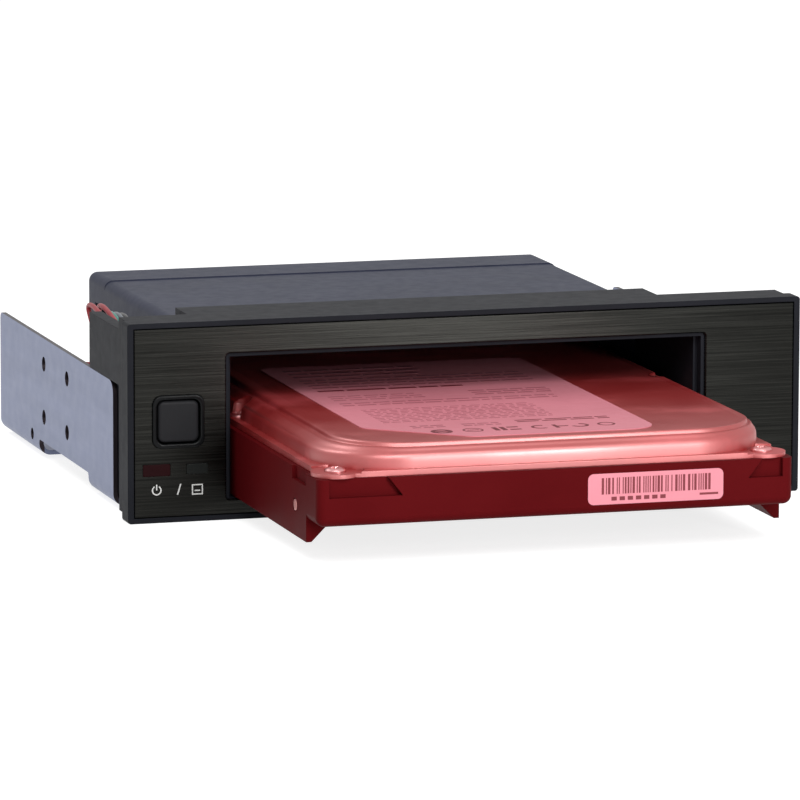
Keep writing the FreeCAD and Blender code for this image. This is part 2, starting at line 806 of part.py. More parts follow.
def chassis_bracket():
    """Folded steel U: floor under the housing and one wing on each side with the bay's holes."""
    body = new_body("chassis_bracket")
    profile = [("-WING", "wing_top", None), ("-WING", "bracket_low", "bend_radius + sheet_thickness"),
               ("WING", "bracket_low", "bend_radius + sheet_thickness"), ("WING", "wing_top", None),
               ("WING_IN", "wing_top", None), ("WING_IN", "FLOOR_TOP", "bend_radius"),
               ("-WING_IN", "FLOOR_TOP", "bend_radius"), ("-WING_IN", "wing_top", None)]
    pad(body, "XZ", "wing_front", "HOUSING_BACK + wing_overhang", [profile], "channel")
    scallop = rectangle("scallop_front", "scallop_back", "bracket_low - past", "scallop_top", "scallop_round")
    pocket(body, "YZ", "-WING - past", "-WING + scallop_reach", [scallop], "left_scallop")
    pocket(body, "YZ", "WING - scallop_reach", "WING + past", [scallop], "right_scallop")
    holes = [circle("bay_hole_front" + step, "bay_hole_low" + rise, "bay_hole_radius")
             for step in ("", " + bay_hole_pitch") for rise in ("", " + bay_hole_rise")]
    holes.append(circle("locator_y", "locator_z", "locator_radius"))
    pocket(body, "YZ", "-WING - past", "WING + past", holes, "bay_holes")
    pocket(body, "XY", "bracket_low - past", "FLOOR_TOP + past",
           [rectangle("-floor_window_half", "floor_window_half", "floor_window_front", "floor_window_back",
                      "floor_window_round")]
           + [circle(x, y, "screw_radius + way_gap") for x, y in bracket_screw_places()]
           + [circle(x, y, "screw_head_radius + head_gap") for x, y in housing_screw_places()], "floor_cuts")
    top = value("wing_top")
    for size, end in (("wing_corner", "wing_front"), ("wing_rear_corner", "HOUSING_BACK + wing_overhang")):
        level = value(end)
        soften(body, "Fillet", size,
               lambda middle, span: near(middle.z, top) and near(middle.y, level) and abs(span.x) > 0.5,
               size + "_round")
    return body


def bracket_screw_places():
    """X and Y of the screws that hold the bracket to the collar and to the base."""
    places = [(sign + "bracket_screw_x", "bracket_screw_y") for sign in ("-", "")]
    places += [(sign + "(runner_inner + runner_outer) / 2", y) for sign in ("-", "")
               for y in ("floor_window_front", "floor_window_back + floor_window_rim")]
    return places


def housing_screw_places():
    """X and Y of the two screws that hold the cover to the base from below."""
    return [(sign + "(HOUSE_IN - cover_post_inset)", "HOUSING_BACK - shell_wall - cover_post_inset")
            for sign in ("-", "")]


def bracket_screws():
    return group("bracket_screws", [
        screw("bracket_screw_%d" % i, "z", x, y, "bracket_low", "screw_radius - seat_gap", "screw_length",
              "screw_head_radius", "screw_head_height")
        for i, (x, y) in enumerate(bracket_screw_places())])


# ---------------------------------------------------------------- housing

def housing_base():
    """Lower shell: floor with runners, side walls, rear wall with the ports and the wire notch."""
    body = new_body("housing_base")
    pad(body, "XY", "FLOOR_TOP", "base_top",
        [rectangle("-HOUSE", "HOUSE", "collar_depth", "HOUSING_BACK", "small_round * 2")], "shell")
    pocket(body, "XY", "BASE_FLOOR_TOP", "base_top",
           [rectangle("-HOUSE_IN", "HOUSE_IN", "collar_depth - past", "HOUSING_BACK - shell_wall")], "inside")
    runners = [rectangle(sign + a, sign + b, "collar_depth", "DRIVE_BACK + past")
               for sign, a, b in (("-", "runner_outer", "runner_inner"), ("", "runner_inner", "runner_outer"))]
    pad(body, "XY", "BASE_FLOOR_TOP - weld", "drive_lift - drive_gap", runners, "runners")
    posts = [circle(x, y, "post_radius + board_post_wall") for x, y in dock_board_screw_places()]
    pad(body, "XY", "BASE_FLOOR_TOP - weld", "dock_board_lift", posts, "board_posts")
    cover_posts = [circle(x, y, "post_radius + cover_post_wall") for x, y in housing_screw_places()]
    pad(body, "XY", "BASE_FLOOR_TOP - weld", "base_top - cover_post_drop", cover_posts, "cover_posts")
    pocket(body, "XY", "FLOOR_TOP", "base_top - cover_post_drop",
           [circle(x, y, "screw_radius + way_gap") for x, y in housing_screw_places()], "cover_screw_ways")
    pocket(body, "XY", "base_top - lap_height", "base_top",
           [rectangle("-HOUSE_IN - shell_wall / 2", "HOUSE_IN + shell_wall / 2",
                      "collar_depth - past", "HOUSING_BACK - shell_wall / 2")], "lap")
    ports = []
    for port_name in ("data_port", "power_port"):
        half = "(%s_width / 2 + port_gap)" % port_name
        ports.append(rectangle("%s_x - %s" % (port_name, half), "%s_x + %s" % (port_name, half),
                               "dock_board_lift - port_gap", "BOARD_TOP + %s_height + port_gap" % port_name,
                               "small_round"))
    pocket(body, "XZ", "HOUSING_BACK - shell_wall - past", "HOUSING_BACK + past", ports, "port_windows")
    pocket(body, "YZ", "-HOUSE - past", "-HOUSE_IN + past",
           [rectangle("HOUSING_BACK - notch_front", "HOUSING_BACK - notch_back", "notch_low", "base_top + past",
                      "bend_radius")], "wire_notch")
    pilots = [circle(x, y, "screw_radius") for x, y in bracket_screw_places()[2:]]
    tip = "FLOOR_TOP + screw_length - sheet_thickness + head_gap"
    pocket(body, "XY", "FLOOR_TOP", tip, pilots, "bracket_pilots")
    board_pilots = [circle(x, y, "small_screw_radius") for x, y in dock_board_screw_places()]
    pocket(body, "XY", "dock_board_lift - dock_pilot_depth", "dock_board_lift", board_pilots, "board_pilots")
    return body


def roof_profile(top):
    """Section of the cover with its two long edges rounded."""
    return [("-HOUSE", "base_top", None), ("HOUSE", "base_top", None),
            ("HOUSE", top, "cover_round"), ("-HOUSE", top, "cover_round")]


def housing_cover():
    """Upper shell: a rounded roof with a raised rear strip, screw posts and a tongue under the bezel's hood."""
    body = new_body("housing_cover")
    front = "collar_depth + seat_gap"
    pad(body, "XZ", front, "HOUSING_BACK", [roof_profile("cover_top")], "shell")
    pad(body, "XZ", "HOUSING_BACK - cover_strip_length", "HOUSING_BACK",
        [roof_profile("cover_top + cover_strip_rise")], "strip")
    rear = value("HOUSING_BACK")
    bottom = value("base_top")
    soften(body, "Fillet", "small_round * 2",
           lambda middle, span: near(middle.y, rear) and middle.z > bottom + 1e-3, "rear_round")
    pad(body, "XY", "cover_top - cover_tongue", "cover_top",
        [rectangle("-PASSAGE + weld", "PASSAGE - weld", "collar_depth - hood_rebate + seat_gap",
                   "collar_depth + shell_wall * 2")], "tongue")
    pad(body, "XY", "base_top - lap_height + lap_gap", "base_top + small_round",
        [rectangle("-HOUSE_IN - shell_wall / 2 + lap_gap", "HOUSE_IN + shell_wall / 2 - lap_gap",
                   front, "HOUSING_BACK - shell_wall / 2 - lap_gap")], "lap")
    pocket(body, "XY", "base_top - lap_height", "cover_top - shell_wall",
           [rectangle("-HOUSE_IN", "HOUSE_IN", "collar_depth - past", "HOUSING_BACK - shell_wall")], "inside")
    foot = "base_top - cover_post_drop"
    posts = [circle(x, y, "post_radius + cover_post_wall") for x, y in housing_screw_places()]
    pad(body, "XY", foot, "cover_top - shell_wall + weld", posts, "screw_posts")
    pilots = [circle(x, y, "screw_radius") for x, y in housing_screw_places()]
    pocket(body, "XY", foot, "base_top + cover_screw_bite + head_gap", pilots, "screw_pilots")
    return body


def housing_screws():
    """Two long screws from below, through the base's posts into the cover's sockets."""
    return group("housing_screws", [
        screw("housing_screw_%d" % i, "z", x, y, "FLOOR_TOP", "screw_radius - seat_gap",
              "base_top + cover_screw_bite - FLOOR_TOP", "screw_head_radius", "screw_head_height")
        for i, (x, y) in enumerate(housing_screw_places())])


# ---------------------------------------------------------------- dock board

def dock_board_screw_places():
    return [(sign + "(dock_board_half - dock_screw_inset)", y) for sign in ("-", "")
            for y in ("BOARD_FRONT + dock_screw_inset", "BOARD_BACK - dock_screw_rear")]


def dock_board():
    body = new_body("dock_board")
    corner = "dock_board_half - dock_corner_width"
    rear = "BOARD_BACK - dock_corner_length"
    outline = [("-dock_board_half", "BOARD_FRONT", None), ("dock_board_half", "BOARD_FRONT", None),
               ("dock_board_half", rear, None), (corner, rear, None), (corner, "BOARD_BACK", None),
               ("-(%s)" % corner, "BOARD_BACK", None), ("-(%s)" % corner, rear, None),
               ("-dock_board_half", rear, None)]
    holes = [circle(x, y, "small_screw_radius + seat_gap") for x, y in dock_board_screw_places()]
    pad(body, "XY", "dock_board_lift", "BOARD_TOP", [outline] + holes, "board")
    return body


def dock_board_screws():
    return group("dock_board_screws", [
        screw("dock_board_screw_%d" % i, "-z", x, y, "BOARD_TOP", "small_screw_radius - seat_gap",
              "board_thickness + dock_screw_bite", "small_head_radius", "small_head_height")
        for i, (x, y) in enumerate(dock_board_screw_places())])


def tongues():
    """X limits of the data and the power tongue of the drive's plug, and of the space round them."""
    total = "(data_tongue + tongue_space + power_tongue)"
    low = "(PLUG_X - %s / 2)" % total
    return [(low, low + " + data_tongue"),
            (low + " + data_tongue + tongue_space", low + " + %s" % total)]


def drive_receptacle():
    """Right-angle socket: a nose that enters the drive's plug, and a body on the dock board."""
    body = new_body("drive_receptacle")
    cavity_half = "(plug_width / 2 - plug_wall)"
    inset = "drive_gap"
    nose_front = "DRIVE_BACK - cavity_depth + drive_gap + weld"
    pad(body, "XZ", "DRIVE_BACK + 2 * drive_gap", "BOARD_FRONT + receptacle_depth",
        [rectangle("PLUG_X - plug_width / 2 - receptacle_cheek", "PLUG_X + plug_width / 2 + receptacle_cheek",
                   "BOARD_TOP", "BOARD_TOP + receptacle_height", "small_round")], "case")
    pad(body, "XZ", nose_front, "DRIVE_BACK + 2 * drive_gap",
        [rectangle("PLUG_X - %s + %s" % (cavity_half, inset), "PLUG_X + %s - %s" % (cavity_half, inset),
                   "PLUG_LOW + plug_wall + " + inset, "PLUG_LOW + plug_height - plug_wall - " + inset)], "nose")
    slots = [rectangle(low + " - tongue_gap", high + " + tongue_gap",
                       "PLUG_MID - tongue_thickness / 2 - tongue_gap",
                       "PLUG_MID + tongue_thickness / 2 + tongue_gap") for low, high in tongues()]
    pocket(body, "XZ", nose_front + " - weld", "DRIVE_BACK + 2 * drive_gap", slots, "tongue_slots")
    return body


DATA_CONTACTS = 7
POWER_CONTACTS = 15


def contact_strips(name, y_low, y_high, z_low):
    """The two rows of flat contacts along the data and the power tongue."""
    strips = []
    for side, (low, high) in zip(("data", "power"), tongues()):
        for i in range(DATA_CONTACTS if side == "data" else POWER_CONTACTS):
            x = "%s + contact_first + contact_pitch * %d" % (low, i)
            strips.append(block("%s_%s_%d" % (name, side, i), x + " - contact_width / 2",
                                x + " + contact_width / 2", y_low, y_high, z_low, z_low + " + contact_thickness"))
    return strips


def receptacle_contacts():
    """Spring contacts that lie on the lower walls of the socket's slots."""
    return group("receptacle_contacts", contact_strips(
        "socket_contact", "DRIVE_BACK - socket_contact_front", "DRIVE_BACK + 2 * drive_gap",
        "PLUG_MID - tongue_thickness / 2 - tongue_gap"))


def port(name, x, width, height, depth):
    """A shrouded rear port: open to the rear, with a tongue inside."""
    body = new_body(name)
    front = "BOARD_BACK - %s" % depth
    back = "HOUSING_BACK - port_recess"
    half = "%s / 2" % width
    pad(body, "XZ", front, back, [rectangle("%s - %s" % (x, half), "%s + %s" % (x, half),
                                            "BOARD_TOP", "BOARD_TOP + " + height, "small_round")], "case")
    opening = rectangle("%s - %s + port_wall" % (x, half), "%s + %s - port_wall" % (x, half),
                        "BOARD_TOP + port_wall", "BOARD_TOP + %s - port_wall" % height, "small_round / 2")
    pocket(body, "XZ", front + " + port_floor", back, [opening], "cavity")
    pad(body, "XZ", front + " + port_floor / 2", back + " - port_tongue_end",
        [rectangle("%s - %s + port_tongue_inset" % (x, half), "%s + %s - port_tongue_inset" % (x, half),
                   "BOARD_TOP + %s / 2 - tongue_thickness / 2" % height,
                   "BOARD_TOP + %s / 2 + tongue_thickness / 2" % height)], "tongue")
    return body


def rear_wire_header():
    body = new_body("rear_wire_header")
    pad(body, "XY", "BOARD_TOP", "BOARD_TOP + header_height",
        [rectangle("header_x - header_width / 2", "header_x + header_width / 2", "HEADER_Y",
                   "HEADER_Y + header_depth")], "shell")
    pocket(body, "XY", "BOARD_TOP + header_floor", "BOARD_TOP + header_height",
           [rectangle("header_x - header_width / 2 + header_wall", "header_x + header_width / 2 - header_wall",
                      "HEADER_Y + header_wall", "HEADER_Y + header_depth - header_wall")], "mouth")
    return body


def dock_board_components():
    """Two filter capacitors and two chips on the dock board."""
    caps = [rod("capacitor_%d" % i, "z", "dock_board_half * " + share,
                "BOARD_BACK - capacitor_radius - shell_wall", "BOARD_TOP", "capacitor_radius", "capacitor_height")
            for i, share in enumerate(("-0.6", "0.79"))]
    chips = [block("chip_%d" % i, "dock_board_half * " + share, "dock_board_half * %s + chip_width" % share,
                   "BOARD_FRONT + chip_front", "BOARD_FRONT + chip_front + chip_length",
                   "BOARD_TOP", "BOARD_TOP + chip_height") for i, share in enumerate(("-0.47", "0.04"))]
    return group("dock_board_components", caps + chips)


# ---------------------------------------------------------------- drive

def drive_casting():
    """Die-cast basin: end flange above two set-back rails, mounting holes, corner pockets."""
    body = new_body("drive_casting")
    rail_front = "DRIVE_FRONT + rail_setback"
    side = [("DRIVE_FRONT", "drive_lift + rail_height", "casting_round"),
            (rail_front, "drive_lift + rail_height", None), (rail_front, "drive_lift", None),
            ("DRIVE_BACK", "drive_lift", None), ("DRIVE_BACK", "CASTING_TOP", None),
            ("DRIVE_FRONT", "CASTING_TOP", None)]
    pad(body, "YZ", "-DRIVE_HALF", "DRIVE_HALF", [side], "block")
    wide = "DRIVE_HALF - rail_foot"
    narrow = "DRIVE_HALF - rail_foot - rail_height"
    under = [("-(%s)" % wide, "drive_lift", None), (wide, "drive_lift", None),
             (narrow, "drive_lift + rail_height", None), ("-(%s)" % narrow, "drive_lift + rail_height", None)]
    pocket(body, "XZ", rail_front, "DRIVE_BACK", [under], "belly")
    face = "DRIVE_FRONT"
    top = "CASTING_TOP"
    low = "CASTING_TOP - corner_pocket_height"
    pockets = []
    for sign, width in (("-", "left_pocket_width"), ("", "right_pocket_width")):
        outer = sign + "(DRIVE_HALF - pocket_edge)"
        inner = "%s(DRIVE_HALF - pocket_edge - %s)" % (sign, width)
        inner_top = "%s(DRIVE_HALF - pocket_edge - %s + pocket_slant)" % (sign, width)
        pockets.append([(outer, low, None), (inner, low, None), (inner_top, top, None), (outer, top, None)])
    pocket(body, "XZ", face, face + " + corner_pocket_depth", pockets, "corner_pockets")
    notch = rectangle("DRIVE_FRONT + side_notch_front", "DRIVE_FRONT + side_notch_back",
                      "CASTING_TOP - side_notch_height", "CASTING_TOP + past")
    pocket(body, "YZ", "-DRIVE_HALF", "-DRIVE_HALF + side_notch_depth", [notch], "left_notch")
    pocket(body, "YZ", "DRIVE_HALF - side_notch_depth", "DRIVE_HALF", [notch], "right_notch")
    holes = [circle(y, "drive_lift + side_hole_rise", "side_hole_radius") for y in
             ("DRIVE_FRONT + side_hole_front", "DRIVE_FRONT + side_hole_front + side_hole_pitch")]
    pocket(body, "YZ", "-DRIVE_HALF", "-DRIVE_HALF + side_hole_depth", holes, "left_holes")
    pocket(body, "YZ", "DRIVE_HALF - side_hole_depth", "DRIVE_HALF", holes, "right_holes")
    pocket(body, "XY", "drive_lift + drive_board_lift", "drive_lift + rail_height + drive_board_cover",
           [rectangle("-drive_board_width / 2 - drive_board_gap", "drive_board_width / 2 + drive_board_gap",
                      "DRIVE_BACK - drive_board_length - drive_board_gap", "DRIVE_BACK")], "board_well")
    pocket(body, "XY", "drive_lift", "drive_lift + plug_lift + plug_height + seat_gap",
           [rectangle("PLUG_X - plug_width / 2 - seat_gap", "PLUG_X + plug_width / 2 + seat_gap",
                      "DRIVE_BACK - plug_depth - seat_gap", "DRIVE_BACK")], "plug_well")
    chamber = "(DRIVE_HALF - casting_wall)"
    pocket(body, "XY", "drive_lift + rail_height + casting_floor", "CASTING_TOP",
           [rectangle("-" + chamber, chamber, "DRIVE_FRONT + 2 * casting_wall", "DRIVE_BACK - 3 * casting_wall",
                      "chamber_round")],
           "chamber")
    pad(body, "XY", "drive_lift + rail_height - motor_proud", "drive_lift + rail_height + weld",
        [circle("0", "MOTOR_Y", "motor_radius")], "motor_base")
    pilots = [circle(x, y, "lid_screw_radius + seat_gap") for x, y, seat in lid_screw_places()]
    pocket(body, "XY", "CASTING_TOP - lid_screw_length", "CASTING_TOP", pilots, "lid_pilots")
    tall = value("casting_top") / 2
    side = value("DRIVE_HALF")
    soften(body, "Fillet", "casting_round",
           lambda middle, span: abs(span.z) > tall and near(abs(middle.x), side), "corners")
    front_top = (value("DRIVE_FRONT"), value("CASTING_TOP"), value("left_pocket_width"))
    soften(body, "Chamfer", "casting_edge",
           lambda middle, span: near(middle.y, front_top[0]) and near(middle.z, front_top[1])
           and abs(span.x) > front_top[2], "front_edge")
    return body


def lid_sides(level):
    """Left, right, front and back of the lid's flange (level 0) or of one of its three steps."""
    return ("-DRIVE_HALF + lid_inset + %d * lid_left_step" % level,
            "DRIVE_HALF - lid_inset - %d * lid_right_step" % level,
            "DRIVE_FRONT + lid_inset + %d * lid_front_step" % level,
            "DRIVE_BACK - lid_rear_inset - %d * lid_rear_step" % level)


def drive_lid():
    """Pressed lid: a flange with corner lobes and three rounded steps up to the plateau."""
    body = new_body("drive_lid")
    pad(body, "XY", "CASTING_TOP", "FLANGE_TOP", [rectangle(*lid_sides(0), "lid_flange_round")], "flange")
    levels = ["FLANGE_TOP", "FLANGE_TOP + lid_first_rise",
              "FLANGE_TOP + lid_first_rise + lid_second_rise", "LID_TOP"]
    for i in range(1, 4):
        pad(body, "XY", levels[i - 1], levels[i],
            [rectangle(*lid_sides(i), "lid_round + lid_front_step * %d" % (3 - i))], "step_%d" % i)
    plateau = value("LID_TOP")
    soften(body, "Fillet", "lid_edge_round", lambda middle, span: near(middle.z, plateau), "plateau_round")
    for i in (1, 2):
        height = value(levels[i])
        left, right, front, back = [value(side) for side in lid_sides(i)]
        soften(body, "Fillet", "lid_edge_round",
               lambda middle, span: near(middle.z, height)
               and (near(middle.x, left) or near(middle.x, right) or near(middle.y, front) or near(middle.y, back)),
               "step_round_%d" % i)
    pocket(body, "XY", "CASTING_TOP", "CASTING_TOP + lid_recess",
           [rectangle("-DRIVE_HALF + lid_inset + lid_recess_inset", "DRIVE_HALF - lid_inset - lid_recess_inset",
                      "DRIVE_FRONT + lid_inset + lid_recess_inset",
                      "DRIVE_BACK - lid_rear_inset - lid_recess_inset", "lid_flange_round")], "underside")
    corners = lid_screw_places()[:4]
    pocket(body, "XY", "LOBE_TOP", "LID_TOP + past",
           [circle(x, y, "lobe_radius + lobe_gap") for x, y, seat in corners], "lobe_clearance")
    pad(body, "XY", "CASTING_TOP", "LOBE_TOP", [circle(x, y, "lobe_radius") for x, y, seat in corners], "lobes")
    pocket(body, "XY", "FLANGE_TOP", "LID_TOP + past",
           [circle(x, y, "lid_head_radius + middle_screw_gap") for x, y, seat in lid_screw_places()[4:]],
           "middle_notches")
    holes = [circle(x, y, "lid_screw_radius + seat_gap") for x, y, seat in lid_screw_places()]
    pocket(body, "XY", "CASTING_TOP", "FLANGE_TOP", holes, "screw_holes")
    return body


def lid_screw_places():
    """X and Y of the lid's screws, and the level of their heads: four corners, then two at the sides."""
    corner = "(DRIVE_HALF - lobe_side)"
    side = "(DRIVE_HALF - middle_screw_side)"
    places = [(sign + corner, y, "LOBE_TOP") for sign in ("-", "")
              for y in ("DRIVE_FRONT + lobe_front", "DRIVE_BACK - lid_rear_inset + lid_inset - lobe_front")]
    return places + [(sign + side, "DRIVE_FRONT + drive_length / 2", "FLANGE_TOP") for sign in ("-", "")]


def drive_lid_screws():
    return group("drive_lid_screws", [
        screw("lid_screw_%d" % i, "-z", x, y, seat, "lid_screw_radius", "lid_screw_length",
              "lid_head_radius", "lid_head_height")
        for i, (x, y, seat) in enumerate(lid_screw_places())])


def drive_board():
    body = new_body("drive_board")
    half = "drive_board_width / 2"
    well = "PLUG_X - plug_width / 2 - plug_board_gap"
    back = "DRIVE_BACK - drive_board_gap"
    notch = "DRIVE_BACK - plug_depth - plug_board_gap"
    front = "DRIVE_BACK - drive_board_length"
    outline = [("-" + half, front, None), (half, front, None), (half, notch, None), (well, notch, None),
               (well, back, None), ("-" + half, back, None)]
    pad(body, "XY", "drive_lift + drive_board_lift", "drive_lift + drive_board_lift + drive_board_thickness",
        [outline], "board")
    return body


def drive_plug():
    """Plug on the drive's rear: a frame open to the rear with the data and the power tongue."""
    body = new_body("drive_plug")
    front = "DRIVE_BACK - plug_depth"
    frame = rectangle("PLUG_X - plug_width / 2", "PLUG_X + plug_width / 2",
                      "PLUG_LOW", "PLUG_LOW + plug_height")
    pad(body, "XZ", front, "DRIVE_BACK", [frame], "frame")
    inner = rectangle("PLUG_X - plug_width / 2 + plug_wall", "PLUG_X + plug_width / 2 - plug_wall",
                      "PLUG_LOW + plug_wall", "PLUG_LOW + plug_height - plug_wall")
    pocket(body, "XZ", "DRIVE_BACK - cavity_depth", "DRIVE_BACK", [inner], "cavity")
    bars = [rectangle(low, high, "PLUG_MID - tongue_thickness / 2", "PLUG_MID + tongue_thickness / 2")
            for low, high in tongues()]
    pad(body, "XZ", "DRIVE_BACK - cavity_depth - tongue_root", "DRIVE_BACK - tongue_end", bars, "tongues")
    return body


def drive_plug_contacts():
    return group("drive_plug_contacts", contact_strips(
        "plug_contact", "DRIVE_BACK - plug_contact_front", "DRIVE_BACK - plug_contact_rear",
        "PLUG_MID + tongue_thickness / 2"))


def drive_top_label():
    """Label on the plateau; its front left corner is cut off at an angle."""
    body = new_body("drive_top_label")
    left = "-label_left"
    front = "DRIVE_FRONT + label_front"
    back = front + " + label_length"
    outline = [(left, front + " + label_cut_length", "label_round"),
               (left + " + label_cut_width", front, "label_round"),
               ("label_right", front, "label_front_round"),
               ("label_right", back, "label_round"),
               (left, back, "label_round")]
    pad(body, "XY", "LID_TOP", "LID_TOP + label_thickness", [outline], "label")
    return body


def drive_end_label():
    body = new_body("drive_end_label")
    pad(body, "XZ", "DRIVE_FRONT - label_thickness", "DRIVE_FRONT",
        [centred("end_label_x", "drive_lift + end_label_rise", "end_label_width", "end_label_height",
                 "end_label_round")], "label")
    return body


# ---------------------------------------------------------------- wires

def tube(name, points, radius):
    """A wire's insulation: straight runs joined by tangent arcs along the points."""
    here = [FreeCAD.Vector(*point) for point in points]
    sides = []
    start = here[0]
    for i in range(1, len(here) - 1):
        back = here[i - 1] - here[i]
        ahead = here[i + 1] - here[i]
        half = back.getAngle(ahead) / 2
        reach = 0.45 * min(back.Length, ahead.Length)
        first = here[i] + back.normalize() * reach
        last = here[i] + ahead.normalize() * reach
        way = ((first - here[i]) + (last - here[i])).normalize()
        bend = reach * math.tan(half)
        centre = here[i] + way * (reach / math.cos(half))
        sides.append(Part.LineSegment(start, first).toShape())
        sides.append(Part.Arc(first, centre - way * bend, last).toShape())
        start = last
    sides.append(Part.LineSegment(start, here[-1]).toShape())
    path = Part.Wire(sides)
    ring = Part.Wire([Part.makeCircle(radius, here[0], here[1] - here[0])])
    shape = path.makePipeShell([ring], True, True)
    expected = math.pi * radius ** 2 * path.Length
    print("%s: length %.1f, volume ratio %.4f" % (name, path.Length, shape.Volume / expected))
    item = doc.addObject("Part::Feature", name)
    item.Label = name
    item.Shape = shape
    return item


WIRES = ("outer_red_wire", "inner_red_wire", "green_wire", "white_wire", "black_wire")


def wires():
    """Five wires from the dock board, out of the notch, forward behind the left wing and over into the ear."""
    made = []
    rear_y = "HEADER_Y + header_depth / 2"
    front_y = "front_board_y + board_thickness + header_depth / 2"
    for lane, name in enumerate(WIRES):
        step = "wire_pitch * %d" % lane
        back = 4 - lane
        low = "wire_low + wire_low_rise * %d" % back
        rear_x = "header_x + 2 * wire_pitch - " + step
        front_x = "BUTTON_X - 2 * wire_pitch + " + step
        side = "-WING_IN + wire_side_gap + wire_loop_pitch * %d" % lane
        if lane > 0:
            side += " + wire_loop_space"
        run = "-WING_IN + 2 * wire_side_gap + " + step
        turn_y = "HOUSING_BACK - notch_front / 2 + wire_pitch * %s" % (back - 2)
        loop_y = "ear_back + wire_loop_back"
        top = "wire_loop_top - wire_loop_fall * %d" % lane
        route = [
            (rear_x, rear_y, "BOARD_TOP + header_floor + wire_end_gap"),
            (rear_x, rear_y, low),
            ("-HOUSE_IN + wire_turn_room", turn_y, low),
            (run, turn_y, low),
            (run, "HOUSING_BACK - 2 * notch_front", "wire_low + wire_end_gap"),
            (side, "ear_back + 1.6 * wire_loop_back", "wire_low + wire_turn_room"),
            (side, loop_y + " - wire_loop_lean", "wire_low + 3 * wire_turn_room"),
            (side, loop_y + " - wire_loop_lean", top + " - wire_loop_drop"),
            (side, loop_y, top),
            (side, "ear_back - wire_loop_lean", top),
            (front_x, front_y, top + " - wire_turn_room"),
            (front_x, front_y, "front_header_low + header_floor + wire_end_gap"),
        ]
        points = [[value(text) for text in point] for point in route]
        made.append(tube(name, points, value("wire_radius")))
    return made


# ---------------------------------------------------------------- build

def build():
    nodes = [front_bezel(), faceplate(), button_surround(), button_cap(), switch_stem(), switch_housing()]
    for name, (x, width, height) in zip(("power_light_window", "access_light_window"), WINDOWS):
        nodes.append(light_window(name, x, width, height))
    nodes += [light_emitters(), front_board(), front_board_screws(), front_wire_header()]
    nodes += [chassis_bracket(), bracket_screws(), housing_base(), housing_cover(), housing_screws()]
    nodes += [dock_board(), dock_board_screws(), drive_receptacle(), receptacle_contacts()]
    for name in ("data_port", "power_port"):
        nodes.append(port(name, *[name + part for part in ("_x", "_width", "_height", "_depth")]))
    nodes += [rear_wire_header(), dock_board_components()]
    nodes += [drive_casting(), drive_lid(), drive_board(), drive_plug(), drive_plug_contacts()]
    nodes.append(drive_lid_screws())
    nodes += [drive_top_label(), drive_end_label()]
    nodes += wires()
    return nodes


def write(nodes):
    for node in nodes:
        node.setExpression("Placement.Base.y", bound(SHIFT))
    doc.recompute()
    for item in doc.Objects:
        if "Invalid" in item.State or "Error" in item.State:
            raise RuntimeError("%s failed: %s" % (item.Label, item.State))
    for node in nodes:
        if node.Shape.isNull() or not node.Shape.isValid():
            raise RuntimeError("%s has no valid shape" % node.Label)
    os.makedirs("parts", exist_ok=True)
    for node in nodes:
        node.Shape.exportStep("parts/%s.step" % node.Label)
        print("%-24s %d solid(s), %.1f mm3" % (node.Label, len(node.Shape.Solids), node.Shape.Volume))


write(build())
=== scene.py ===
import collections
import math
import random

import bmesh
import bpy
from mathutils import Matrix, Vector


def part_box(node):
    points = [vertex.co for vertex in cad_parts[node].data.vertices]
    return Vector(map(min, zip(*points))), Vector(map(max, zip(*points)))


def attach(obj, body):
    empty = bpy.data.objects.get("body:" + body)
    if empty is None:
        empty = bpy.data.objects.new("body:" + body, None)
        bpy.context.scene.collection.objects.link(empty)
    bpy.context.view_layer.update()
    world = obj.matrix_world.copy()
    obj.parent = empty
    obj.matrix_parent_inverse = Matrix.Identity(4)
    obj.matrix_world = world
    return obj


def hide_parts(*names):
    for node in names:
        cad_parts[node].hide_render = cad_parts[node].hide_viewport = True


# Hot swap drive cage: finishes, print, lid steps, screws, wires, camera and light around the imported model.
# Lengths are in millimetres until a mesh is made, in the model's own frame: X right, Y to the rear, Z up.

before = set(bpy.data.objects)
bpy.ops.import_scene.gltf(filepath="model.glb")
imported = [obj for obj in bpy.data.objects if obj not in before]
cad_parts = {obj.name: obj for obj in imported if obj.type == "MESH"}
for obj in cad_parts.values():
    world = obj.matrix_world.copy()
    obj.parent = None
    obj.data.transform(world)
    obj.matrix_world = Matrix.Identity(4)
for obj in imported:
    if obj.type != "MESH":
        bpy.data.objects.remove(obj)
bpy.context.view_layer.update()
MM = 0.001
X_AXIS, Y_AXIS, Z_AXIS = Vector((1, 0, 0)), Vector((0, 1, 0)), Vector((0, 0, 1))


def box_mm(node):
    """Lowest and highest corners of a CAD node, in millimetres."""
    low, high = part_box(node)
    return low / MM, high / MM


def middle_mm(node):
    """Middle of a CAD node along X and along Y, in millimetres."""
    low, high = box_mm(node)
    return (low.x + high.x) / 2, (low.y + high.y) / 2


# ---------------------------------------------------------------- colours and shader nodes

COLOUR_A, COLOUR_B, COLOUR_MIXED = 6, 7, 2  # the colour sockets of a Mix node


def srgb(red, green, blue):
    """A linear colour from its 0 to 255 display values."""
    def linear(level):
        level /= 255.0
        return level / 12.92 if level <= 0.04045 else ((level + 0.055) / 1.055) ** 2.4
    return (linear(red), linear(green), linear(blue), 1.0)


